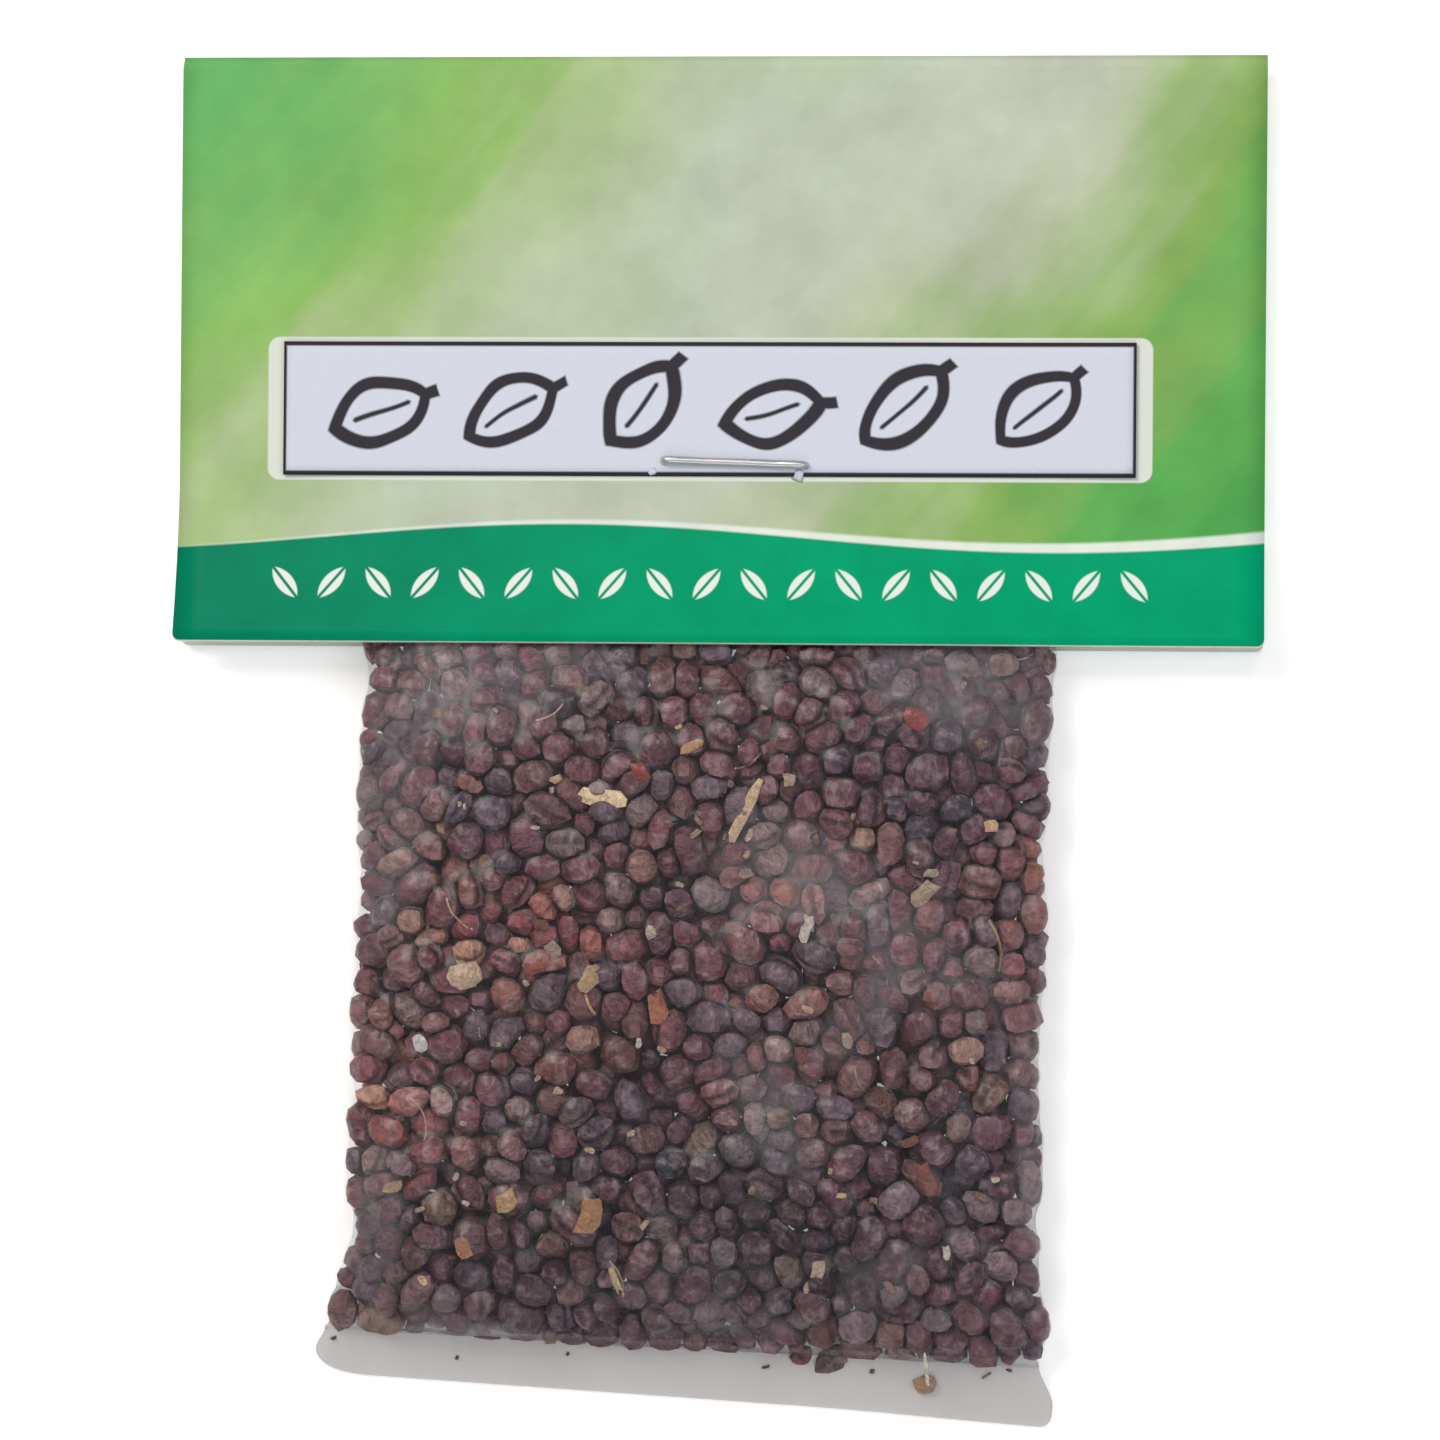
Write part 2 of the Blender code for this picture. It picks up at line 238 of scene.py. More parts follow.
def drawn_along(
    shape: bmesh.types.BMesh, route: Sequence[Vector], radius: float, sides: int
) -> list[bmesh.types.BMVert]:
    """Draws a ring along a route, as a wire or a fibre, and closes both ends.

    Args:
        shape: where it is drawn.
        route: the middle line.
        radius: the wire's radius.
        sides: how many sides it has.

    Returns:
        Its points.
    """
    way = (route[1] - route[0]).normalized()
    here = Matrix.Translation(route[0]) @ way.to_track_quat("Z", "Y").to_matrix().to_4x4()
    made = bmesh.ops.create_circle(shape, cap_ends=True, segments=sides, radius=radius, matrix=here)
    found = list(made["verts"])
    ring = once(edge for vert in found for edge in vert.link_edges)
    for index in range(1, len(route)):
        after = route[min(index + 1, len(route) - 1)]
        ahead = (after - route[index - 1]).normalized()
        turn = way.rotation_difference(ahead).to_matrix().to_4x4()
        grown = bmesh.ops.extrude_edge_only(shape, edges=ring)["geom"]
        verts = [item for item in grown if isinstance(item, bmesh.types.BMVert)]
        ring = [item for item in grown if isinstance(item, bmesh.types.BMEdge)]
        spin = Matrix.Translation(route[index]) @ turn @ Matrix.Translation(-route[index - 1])
        bmesh.ops.transform(shape, matrix=spin, verts=verts)
        found.extend(verts)
        way = ahead
    bmesh.ops.contextual_create(shape, geom=ring)
    return found


@dataclass(frozen=True)
class Patch:
    """A soft-edged oval patch on the face of the bag, in millimetres and degrees, with how strong
    it is and, on the seeds, the colour that it turns mid grey to."""

    x: float
    y: float
    long: float
    wide: float
    turn: float
    strength: float
    colour: str = "808080"

    def share(self, x: np.ndarray, y: np.ndarray) -> np.ndarray:
        """How strong the patch is: level within it, and soft at its edge.

        Args:
            x: places across the bag, in millimetres.
            y: places up the bag.

        Returns:
            Its strength at each place.
        """
        along, aside = math.cos(math.radians(self.turn)), math.sin(math.radians(self.turn))
        u = ((x - self.x) * along + (y - self.y) * aside) / self.long
        v = ((y - self.y) * along - (x - self.x) * aside) / self.wide
        return self.strength * np.exp(-((u**2 + v**2) ** 2))


@dataclass(frozen=True)
class BagForm:
    """The bag's shape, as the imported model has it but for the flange's end, which lies 0.25 mm
    lower, before it leans about the staple."""

    flat_half: float = 30.4 * MM
    fill_half: float = 28.9 * MM
    swell_over: tuple = (8 * MM, 14 * MM)
    seam_y: float = -49.9 * MM
    mouth_y: float = 52.8 * MM
    foot_slant: float = 0.45 * MM
    flange: float = 4.9 * MM
    flange_slant: float = 0.55 * MM
    flange_corner: float = 0.9 * MM
    flange_end_z: float = 0.35 * MM
    fill_height: float = 8.0 * MM
    rim_z: float = 3.0 * MM
    top_side: float = 10 * MM
    top_foot: float = 9 * MM
    base_side: float = 6.5 * MM
    base_foot: float = 7 * MM
    bend_y: float = 21.7 * MM
    shoulder: float = 24 * MM
    base_lift_y: float = -0.4 * MM
    base_lift: float = 6.6 * MM
    rim_sink_y: float = 2.8 * MM
    neck_base_z: float = 1.3 * MM
    neck_top_z: float = 1.95 * MM
    edge: float = 0.325 * MM
    staple_y: float = 22.7 * MM
    lean: float = math.radians(-1.2)
    shift: float = -0.35 * MM

    def rim_height(self, y: Number) -> Number:
        """Height of the side edges at y, which droop at the foot and sink to the neck."""
        droop = ease((y - self.seam_y + self.flange) / (2 * self.flange))
        sink = ease((y - self.rim_sink_y) / (self.bend_y - self.rim_sink_y))
        neck = (self.neck_base_z + self.neck_top_z) / 2
        return between(between(self.flange_end_z, self.rim_z, droop), neck, sink)

    def crest(self, y: Number) -> Number:
        """Height of the bag's middle at y, from the fill down to the neck."""
        return between(self.neck_top_z, self.fill_height, ease((self.bend_y - y) / self.shoulder))

    def half_width(self, y: Number) -> Number:
        """Half the bag's width at y, which draws in where it is filled."""
        foot, neck = self.swell_over
        swell = ease((y - self.seam_y) / foot) * ease((self.bend_y - y) / neck)
        corner = np.clip(1 - (y - self.seam_y + self.flange) / self.flange_corner, 0.0, 1.0)
        rounded = self.flange_corner * (1 - np.sqrt(1 - corner**2))
        return between(self.flat_half, self.fill_half, swell) - rounded

    def skin(self, x: Number, y: Number) -> tuple[Number, Number]:
        """Heights of the bag's top and underside.

        Args:
            x: the place across the bag.
            y: the place up the bag.

        Returns:
            The top's height and the underside's.
        """
        from_side = self.half_width(y) - np.abs(x)
        from_seam = y - self.seam_y
        floor = self.neck_base_z * ease((y - self.base_lift_y) / self.base_lift)
        high = dome(from_side / self.top_side) * dome(from_seam / self.top_foot)
        low = dome(from_side / self.base_side) * dome(from_seam / self.base_foot)
        rim = self.rim_height(y)
        return between(rim + self.edge, self.crest(y), high), between(rim - self.edge, floor, low)

    def settled(self, points: np.ndarray) -> np.ndarray:
        """Slants the foot and leans the whole bag about the staple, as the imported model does.

        Args:
            points: points of the bag, with x, y and z along the last axis.

        Returns:
            Where they settle.
        """
        x, y, z = points[..., 0], points[..., 1], points[..., 2]
        share = np.clip((self.base_lift_y - y) / (self.base_lift_y - self.seam_y), 0.0, 1.0)
        flange = np.clip((self.seam_y - y) / self.flange, 0.0, 1.0)
        y = y - (self.foot_slant * share + self.flange_slant * flange) * x / self.flat_half
        along, aside = math.cos(self.lean), math.sin(self.lean)
        rise = y - self.staple_y
        turned = (x * along - rise * aside + self.shift, x * aside + rise * along + self.staple_y, z)
        return np.stack(turned, axis=-1)


class CoatTone(Enum):
    """The kinds of seed coat in the bag: a name, a colour and its share of the seeds."""

    PLUM = ("plum", "6f4850", 0.42)
    SLATE = ("slate", "5e4e58", 0.14)
    UMBER = ("umber", "795556", 0.28)
    STONE = ("stone", "84706f", 0.09)
    RUSSET = ("russet", "825a53", 0.045)
    TAN = ("tan", "977869", 0.02)
    BRICK = ("brick", "714645", 0.005)

    def __init__(self, label: str, colour: str, share: float) -> None:
        """Keeps the three parts of each kind under their names."""
        self.label = label
        self.colour = colour
        self.share = share


@dataclass(frozen=True)
class SeedCoat:
    """Dry seed coat: a thin, tough skin, dull with a faint waxy sheen, wrinkled across the seed every half
    millimetre, often cleft along one side, and greyer where it is rubbed. Its colour is darker in the
    wrinkles' hollows and in the cleft, which is painted shade, and paler on the wrinkles' ridges, which is
    painted light."""

    name: str = "dry_seed_coat"
    roughness: float = 0.56
    wrinkle: float = 0.5
    blotch: float = 1.3
    cleft: float = 0.2

    def material(self) -> bpy.types.Material:
        """Builds the coat. Its colour, and places on each seed in millimetres, come from the mesh.

        Returns:
            The material.
        """
        material, add = blank_material(self.name)
        coat = add("Attribute", attribute_name="coat")
        spot = add("Attribute", attribute_name="spot").outputs["Vector"]
        face = add("Attribute", attribute_name="face").outputs["Vector"]
        # Blotches about a millimetre wide, where dust and dried aril still cling to the coat
        grain = {"Detail": 2.0, "Roughness": 0.65}
        patches = add("TexNoise", spot, Scale=1 / self.blotch, **grain)
        # Wrinkles half a millimetre apart, drawn out across the seed; the colour follows them, darker in
        # their hollows and paler on their ridges, as painted shade and painted light
        along = add("Mapping", spot, Scale=(1.0, 0.55, 0.55))
        wrinkles = add("TexNoise", along, Scale=1 / self.wrinkle, **grain)
        # The cleft along one side of the cleft seeds: a groove in the bump, and painted shade in the colour
        side = add("SeparateXYZ", face)
        width = add("Math DIVIDE", side.outputs[1], self.cleft)
        dip = add("Math EXPONENT", add("Math MULTIPLY", add("Math POWER", width, 2.0), -1.0))
        cleft = add("Math MULTIPLY", dip, add("Math MULTIPLY", side.outputs[2], 1.6, use_clamp=True))
        paler = add("Mix", add("MapRange", patches, 0.48, 0.68, 0.0, 0.42), coat, "a08b90", **INK)
        # Painted shade and light: the colour darkens in the wrinkles' hollows and in the cleft, and pales on
        # the wrinkles' ridges, where the bump sinks and rises
        low = add("MapRange", wrinkles, 0.34, 0.64, 0.6, 1.25)
        shade = add("Math MULTIPLY", low, add("Math MULTIPLY_ADD", cleft, -0.5, 1.0))
        height = add("Math MULTIPLY_ADD", cleft, -0.6, wrinkles)
        bump = add("Bump", Height=height, Strength=1.0, Distance=0.55 * MM)
        look = {"Roughness": self.roughness, "Specular_IOR_Level": 0.3, "Normal": bump}
        return surface_of(material, add("BsdfPrincipled", add("Mix", 1.0, paler, shade, **SHADED), **look))


@dataclass
class Seeds:
    """Middles, radii, long axes and reaches of the settled seeds in millimetres, and their colours.

    A seed's reach is how far along its axis the middle of each of its round ends lies."""

    centres: np.ndarray
    radii: np.ndarray
    axes: np.ndarray
    reaches: np.ndarray
    insets: np.ndarray
    tones: Sequence[CoatTone] = ()
    shades: Sequence[float] = ()


@dataclass
class Solid:
    """Points in metres and faces of shapes that the film is drawn over."""

    points: np.ndarray
    faces: np.ndarray

    def joined(self, other: "Solid") -> "Solid":
        """Both shapes in one."""
        faces = np.concatenate([self.faces, other.faces + len(self.points)])
        return Solid(np.concatenate([self.points, other.points]), faces)

    def tree(self) -> BVHTree:
        """A tree for casting rays at it."""
        return BVHTree.FromPolygons(self.points.tolist(), self.faces.tolist())


@dataclass
class SeedHeap:
    """The loose seeds: about 1,700 pebbles that fill the bag and press on its film. Its lengths are
    in millimetres."""

    form: BagForm
    count: int = 1620
    top_ups: int = 3
    light_grid: float = 0.4
    light_half: float = 27.2
    light_top: float = 9.5
    light_slants: tuple = (0.0, 0.08, -0.12)
    radius: float = 1.36
    spread: float = 0.2
    smallest: float = 0.95
    largest: float = 1.75
    longest: float = 2.0
    swell: float = 1.17
    sunk_share: float = 0.2
    top_y: float = 12.0
    wall: float = 0.12
    waver: float = 0.35
    overhang: float = 0.5
    foot_bulges: tuple = ((10.4, 2.6, 1.2), (-14.0, 2.0, 0.5), (20.0, 3.0, 0.6), (27.0, 2.0, 0.5))
    grow_steps: int = 90
    settle_steps: int = 120
    contact_gap: float = 0.05
    layering: float = 0.0006
    cleft_share: float = 0.3
    cleft_depth: float = 0.13
    cleft_width: float = 0.34
    facets: tuple = (6, 11)
    facet_reach: tuple = (0.68, 0.92)
    roundness: tuple = (12, 26)
    uneven: float = 0.024
    near_gap: float = 0.4
    push: float = 0.2
    plug: float = 0.8
    sharpest: float = math.radians(36)
    seed: int = 1304
    tone_spots: tuple = ()
    shaded_patches: tuple[Patch, ...] = ()
    solid: Optional[Solid] = None

    def skin_mm(self, x: np.ndarray, y: np.ndarray) -> tuple[np.ndarray, np.ndarray]:
        """The film's inner faces at x and y, all in millimetres."""
        top, base = self.form.skin(x * MM, y * MM)
        return top / MM - self.wall, base / MM + self.wall

    def slopes(self, x: np.ndarray, y: np.ndarray) -> tuple[np.ndarray, ...]:
        """Slopes of the film.

        Args:
            x: places across the bag, in millimetres.
            y: places up the bag.

        Returns:
            Slopes along X of the top and the underside, then along Y of the two.
        """
        step = 0.2
        right, left = self.skin_mm(x + step, y), self.skin_mm(x - step, y)
        ahead, behind = self.skin_mm(x, y + step), self.skin_mm(x, y - step)
        along = [(a - b) / (2 * step) for a, b in zip(right, left)]
        up = [(a - b) / (2 * step) for a, b in zip(ahead, behind)]
        return (*along, *up)

    def confine(self, spots: np.ndarray, radii: np.ndarray, inset: np.ndarray) -> None:
        """Pushes seeds that stick out of the bag back into it, in place.

        Args:
            spots: their middles, which are moved.
            radii: their radii.
            inset: how far each keeps off the film.
        """
        half = self.form.half_width(spots[:, 1] * MM) / MM - self.wall
        wave = np.sin(spots[:, 1] / 1.45 + spots[:, 0]) + np.sin(spots[:, 1] / 2.3 + 1)
        reach = half - radii * 0.97 - inset - self.waver * np.clip(wave, 0, 2)
        foot = self.form.seam_y / MM + radii * 0.55 + inset - self.overhang
        foot = foot + self.waver * (1 + np.sin(spots[:, 0] / 0.8) * np.sin(spots[:, 0] / 2.9))
        for middle, reach_x, depth in self.foot_bulges:
            foot = foot - depth * np.exp(-(((spots[:, 0] - middle) / reach_x) ** 2))
        spots[:, 0] = np.clip(spots[:, 0], -reach, reach)
        spots[:, 1] = np.clip(spots[:, 1], foot, self.top_y)
        top, base = self.skin_mm(spots[:, 0], spots[:, 1])
        tx, bx, ty, by = self.slopes(spots[:, 0], spots[:, 1])
        high = top - radii * np.minimum(np.sqrt(1 + tx**2 + ty**2), 1.5) - inset
        low = base + radii * np.minimum(np.sqrt(1 + bx**2 + by**2), 1.5)
        tight = high < low
        middle = (top + base) / 2
        high, low = np.where(tight, middle, high), np.where(tight, middle, low)
        spots[:, 2] = np.clip(spots[:, 2], low, high)
        pinched = np.maximum(2 * radii - (top - base), 0) * 0.25
        spots[:, 1] -= np.where(spots[:, 1] > 0, pinched, 0)

    def thrown(self, rng: np.random.Generator) -> Seeds:
        """Throws seeds of every size and shape loosely into the bag.

        Args:
            rng: the random numbers.

        Returns:
            The seeds, not yet settled.
        """
        stretch = rng.triangular(1.0, 1.3, self.longest, self.count)
        radii = np.clip(rng.normal(self.radius, self.spread, self.count), self.smallest, self.largest)
        radii /= (1.5 * stretch - 0.5) ** (1 / 3)
        sunk = (rng.random(self.count) < self.sunk_share) * rng.uniform(0.3, 1.1, self.count)
        spots = np.empty((self.count, 3))
        spots[:, 0] = rng.uniform(-1, 1, self.count) * (self.form.fill_half / MM - 1.5)
        spots[:, 1] = rng.uniform(self.form.seam_y / MM + 1.5, self.top_y, self.count)
        top, base = self.skin_mm(spots[:, 0], spots[:, 1])
        spots[:, 2] = base + (top - base) * rng.uniform(0.2, 0.8, self.count)
        axes = rng.normal(size=(self.count, 3)) * (1, 1, 0.7)
        axes /= np.linalg.norm(axes, axis=1, keepdims=True)
        return Seeds(spots, radii, axes, radii * (stretch - 1), np.abs(rng.normal(0, 0.2, self.count)) + sunk)

    def relax(self, seeds: Seeds, shares: Iterable[float]) -> float:
        """Lets the seeds push each other apart inside the bag.

        Args:
            seeds: the seeds, which are moved and turned in place.
            shares: their size at each step, as a share of their full size.

        Returns:
            How far neighbours still press into each other, on average.
        """
        own_end, other_end = np.array((0, 0, 1, 1)), np.array((0, 1, 0, 1))
        whole = seeds.radii + seeds.reaches
        overlap = np.zeros(1)
        for step, share in enumerate(shares):
            spots, axes = seeds.centres, seeds.axes
            arms = axes * (seeds.reaches * share)[:, None]
            ends = np.stack([spots - arms, spots + arms], axis=1)
            if step % 5 == 0:
                square = (spots**2).sum(axis=1)
                apart = square[:, None] + square[None, :] - 2 * spots @ spots.T
                near = apart < (whole[:, None] + whole[None, :] + self.near_gap) ** 2
                first, second = np.nonzero(np.triu(near, 1))
                mine = (first[:, None] * 2 + own_end).ravel()
                yours = (second[:, None] * 2 + other_end).ravel()
            gap = ends[first][:, own_end] - ends[second][:, other_end]
            length = np.maximum(np.linalg.norm(gap, axis=2), 1e-6)
            overlap = np.maximum((seeds.radii[first] + seeds.radii[second])[:, None] * share - length, 0)
            push = gap * (overlap / length)[..., None] * self.push
            tips = ends.reshape(-1, 3)
            for axis in range(3):
                tips[:, axis] += np.bincount(mine, push[..., axis].ravel(), len(tips))
                tips[:, axis] -= np.bincount(yours, push[..., axis].ravel(), len(tips))
            top, base = self.skin_mm(spots[:, 0], spots[:, 1])
            ends[:, :, 2] += ((spots[:, 2] - (top + base) / 2) * self.layering)[:, None]
            self.confine(tips, np.repeat(seeds.radii * share, 2), np.repeat(seeds.insets, 2))
            ends = tips.reshape(-1, 2, 3)
            along = ends[:, 1] - ends[:, 0]
            run = np.linalg.norm(along, axis=1, keepdims=True)
            seeds.axes = np.where(run > 0.05, along / np.maximum(run, 1e-6), axes)
            seeds.centres = ends.mean(axis=1)
        return float(overlap.mean())

    def topped_up(self, seeds: Seeds, rows: list[np.ndarray], faces: list) -> Seeds:
        """Drops a small seed into each hole that lets light straight through the heap.

        Args:
            seeds: the seeds so far.
            rows: their points.
            faces: the faces of them all.

        Returns:
            The seeds and the small ones after them.
        """
        tree = BVHTree.FromPolygons(np.concatenate([row[:, :3] for row in rows]).tolist(), faces)
        half, grid = self.light_half, self.light_grid
        columns = np.arange(-half, half + 0.1, grid)
        lines = np.arange(self.form.seam_y / MM + 1.3, self.light_top, grid)
        ways = [Vector((slant, 0, -1)) for slant in self.light_slants]

        def lets_light_by(x: float, y: float) -> bool:
            """Whether a ray passes the heap there in any of the ways."""
            return any(tree.ray_cast(Vector((x, y, 4)) - way * 9, way)[0] is None for way in ways)

        clear = [(x, y) for x in columns for y in lines if lets_light_by(x, y)]
        if not clear:
            return seeds
        spots = np.array(clear)
        crowd = (np.linalg.norm(spots[:, None] - spots[None], axis=2) < 0.7).sum(axis=1)
        holes: list[np.ndarray] = []
        for index in np.argsort(-crowd):
            if all(math.dist(spots[index], hole) > 1.0 for hole in holes):
                holes.append(spots[index])
        found = np.array(holes)
        top, base = self.skin_mm(found[:, 0], found[:, 1])
        count = len(found)
        log.info("%d small seeds fill holes", count)
        return Seeds(
            np.concatenate([seeds.centres, np.column_stack([found, between(base, top, 0.42)])]),
            np.concatenate([seeds.radii, np.minimum(self.plug, (top - base) * 0.36)]),
            np.concatenate([seeds.axes, np.tile((0.8, 0.6, 0.0), (count, 1))]),
            np.concatenate([seeds.reaches, np.full(count, 0.25)]),
            np.concatenate([seeds.insets, np.full(count, 0.2)]),
        )

    def settle(self) -> Seeds:
        """Packs the seeds into the bag.

        Returns:
            The seeds, settled.
        """
        seeds = self.thrown(np.random.default_rng(self.seed))
        self.relax(seeds, np.linspace(0.55, 1, self.grow_steps))
        pressed = self.relax(seeds, np.ones(self.settle_steps))
        log.info("settled %d seeds, which press %.3f mm into each other", self.count, pressed)
        return seeds

    def colour(self, seeds: Seeds) -> None:
        """Draws each seed's tone and how light it is, and sets those of the marked ones.

        Args:
            seeds: the seeds, which are given their tones and shades.
        """
        rng = np.random.default_rng(self.seed + 2)
        kinds = list(CoatTone)
        drawn = rng.choice(len(kinds), self.count, p=[tone.share for tone in kinds])
        seeds.tones = [kinds[index] for index in drawn]
        seeds.shades = rng.normal(1.0, 0.15, self.count)
        self.place_tones(seeds)

    def place_tones(self, seeds: Seeds) -> None:
        """Gives the top seed nearest each of the marked spots its own tone.

        Args:
            seeds: the seeds.
        """
        placed = self.form.settled(seeds.centres * MM) / MM
        for tone, (x, y) in ((tone, spot) for tone, spots in self.tone_spots for spot in spots):
            off = np.hypot(placed[:, 0] - x, placed[:, 1] - y)
            nearest = int(np.argmin(off - 0.7 * placed[:, 2]))
            seeds.tones[nearest] = tone
            seeds.shades[nearest] = max(seeds.shades[nearest], 1.1)

    def cage(self) -> bpy.types.Mesh:
        """A small round cage of 54 faces, which every seed starts from.

        Returns:
            The cage's mesh.
        """
        cage = bmesh.new()
        bmesh.ops.create_cube(cage, size=2)
        bmesh.ops.subdivide_edges(cage, edges=cage.edges, cuts=2, use_grid_fill=True)
        for vert in cage.verts:
            vert.co = Vector([math.tan(value * math.pi / 4) for value in vert.co]).normalized()
        mesh = bpy.data.meshes.new("seed_cage")
        cage.to_mesh(mesh)
        cage.free()
        return mesh

    def flats(self, index: int, seeds: Seeds) -> list[tuple[np.ndarray, float]]:
        """The flats where a seed meets its neighbours and the film.

        Args:
            index: which seed.
            seeds: all of them.

        Returns:
            The outward normal and the distance from the seed's centre of each flat.
        """
        centre, radius = seeds.centres[index], seeds.radii[index]
        whole = seeds.radii + seeds.reaches
        length = np.linalg.norm(seeds.centres - centre, axis=1)
        near = np.nonzero((length < 1.25 * (whole + whole[index])) & (length > 1e-6))[0]
        steps = np.linspace(-1, 1, 5)[:, None]
        own = steps * seeds.axes[index] * seeds.reaches[index]
        found = []
        for other in near:
            theirs = seeds.centres[other] - centre + steps * seeds.axes[other] * seeds.reaches[other]
            gaps = theirs[None, :, :] - own[:, None, :]
            spans = np.linalg.norm(gaps, axis=2)
            mine, yours = divmod(int(spans.argmin()), len(steps))
            span = max(spans[mine, yours], 1e-6)
            normal = gaps[mine, yours] / span
            share = (span**2 + radius**2 - seeds.radii[other] ** 2) / (2 * span)
            found.append((normal, float(own[mine] @ normal) + share - self.contact_gap / 2))
        x, y = centre[:1], centre[1:2]
        top, base = self.skin_mm(x, y)
        tx, bx, ty, by = self.slopes(x, y)
        for height, slope_x, slope_y, up in ((top, tx, ty, 1), (base, bx, by, -1)):
            steep = math.sqrt(1 + slope_x[0] ** 2 + slope_y[0] ** 2)
            normal = np.array((-slope_x[0], -slope_y[0], 1.0)) * up / steep
            found.append((normal, abs(height[0] - centre[2]) / steep))
        half = float(self.form.half_width(centre[1] * MM) / MM) - self.wall
        found.append((np.array((math.copysign(1.0, centre[0]), 0.0, 0.0)), half - abs(centre[0])))
        return found

    def shaped(self, index: int, seeds: Seeds, ways: np.ndarray, rng: np.random.Generator) -> np.ndarray:
        """Shapes one seed: a longish pebble, flattened where it meets its neighbours and the film.

        Args:
            index: which seed.
            seeds: all of them.
            ways: the cage's directions.
            rng: the random numbers.

        Returns:
            A row for each point: its place, its spot on the coat and its place round the cleft.
        """
        centre, radius, axis = seeds.centres[index], seeds.radii[index], seeds.axes[index]
        toward = rng.normal(size=3) + (0, 0, 0.8)
        across = np.cross(toward, axis)
        across /= np.linalg.norm(across)
        basis = np.stack([axis, across, np.cross(axis, across)], axis=1)
        turned = ways @ basis
        girth = self.swell * radius
        long = self.swell * (radius + seeds.reaches[index])
        sizes = np.array((long, girth * rng.uniform(0.98, 1.08), girth * rng.uniform(0.88, 1.0)))
        sharp = rng.uniform(*self.roundness)
        total = np.sqrt(((turned / sizes) ** 2).sum(axis=1)) ** sharp
        for normal, offset in self.flats(index, seeds):
            total += np.maximum(ways @ normal / max(offset, 0.4), 0) ** sharp
        for _ in range(rng.integers(*self.facets)):
            facet = rng.normal(size=3)
            facet /= np.linalg.norm(facet)
            far = float(np.linalg.norm(sizes * (facet @ basis)))
            total += np.maximum(ways @ facet / (far * rng.uniform(*self.facet_reach)), 0) ** sharp
        cleft = rng.random() < self.cleft_share
        reach = total ** (-1 / sharp) * rng.normal(1.0, self.uneven, len(ways))
        dip = np.exp(-((turned[:, 1] / self.cleft_width) ** 2)) * np.clip(turned[:, 2] * 1.6, 0, 1)
        reach = reach * (1 - self.cleft_depth * cleft * dip)
        spot = turned * radius + rng.uniform(0, 400, 3)
        face = turned * (1.0, 1.0, 1.0 if cleft else 0.0)
        return np.hstack([centre + ways * reach[:, None], spot, face])

    def build(self) -> list[bpy.types.Object]:
        """Builds the seeds, as a piece for each family of tones.

        Returns:
            The pieces. What the film lies on is kept in solid.
        """
        seeds = self.settle()
        rng = np.random.default_rng(self.seed + 1)
        cage = self.cage()
        ways = np.array([vert.co for vert in cage.vertices])
        faces = np.array([list(face.vertices) for face in cage.polygons])
        rows: list[np.ndarray] = []
        for _ in range(self.top_ups):
            rows += [self.shaped(index, seeds, ways, rng) for index in range(len(rows), len(seeds.radii))]
            every = np.concatenate([faces + index * len(ways) for index in range(len(rows))])
            seeds = self.topped_up(seeds, rows, every.tolist())
        self.count = len(rows)
        for row in rows:
            row[:, :3] = self.form.settled(row[:, :3] * MM)
        self.solid = Solid(np.concatenate([row[:, :3] for row in rows]), every)
        self.colour(seeds)
        families = {
            "seeds_plum": (CoatTone.PLUM,),
            "seeds_slate": (CoatTone.SLATE, CoatTone.STONE),
            "seeds_umber": (CoatTone.UMBER,),
            "seeds_russet": (CoatTone.RUSSET, CoatTone.TAN, CoatTone.BRICK),
        }
        coat = SeedCoat().material()
        pieces = []
        for name, tones in families.items():
            members = [index for index in range(self.count) if seeds.tones[index] in tones]
            shape = self.family(members, rows, seeds, cage)
            piece = piece_of(name, shape, [coat], ["seed_fill"])
            piece.data.set_sharp_from_angle(angle=self.sharpest)
            pieces.append(piece)
            log.info("%s: %d seeds", name, len(members))
        bpy.data.meshes.remove(cage)
        return pieces

    def family(
        self, members: list[int], rows: list[np.ndarray], seeds: Seeds, cage: bpy.types.Mesh
    ) -> bmesh.types.BMesh:
        """Joins the seeds of one family of tones into a shape.

        Args:
            members: the seeds that it holds.
            rows: every seed's points.
            seeds: their colours.
            cage: what each seed's mesh starts from.

        Returns:
            The shape, with each seed's colour and places on its coat.
        """
        shape = bmesh.new()
        for _ in members:
            shape.from_mesh(cage)
        coat = shape.verts.layers.float_color.new("coat")
        spot, face = (shape.verts.layers.float_vector.new(name) for name in ("spot", "face"))
        shape.verts.ensure_lookup_table()
        size = len(cage.vertices)
        for order, index in enumerate(members):
            colour = np.array(linear(seeds.tones[index].colour)[:3]) * max(seeds.shades[index], 0.5)
            middle = rows[index][:, :3].mean(axis=0) / MM
            # Broad patches over the seeds' colours; those under the film's milky patches are painted haze,
            # the film's veil painted on the seeds
            for patch in self.shaded_patches:
                turned_to = np.array(linear(patch.colour)[:3]) / linear("808080")[0]
                colour = colour * between(1.0, turned_to, patch.share(middle[0], middle[1]))
            for vert, row in zip(shape.verts[order * size : (order + 1) * size], rows[index]):
                vert.co = row[:3]
                vert[coat], vert[spot], vert[face] = (*colour, 1.0), row[3:6], row[6:9]
        return shape


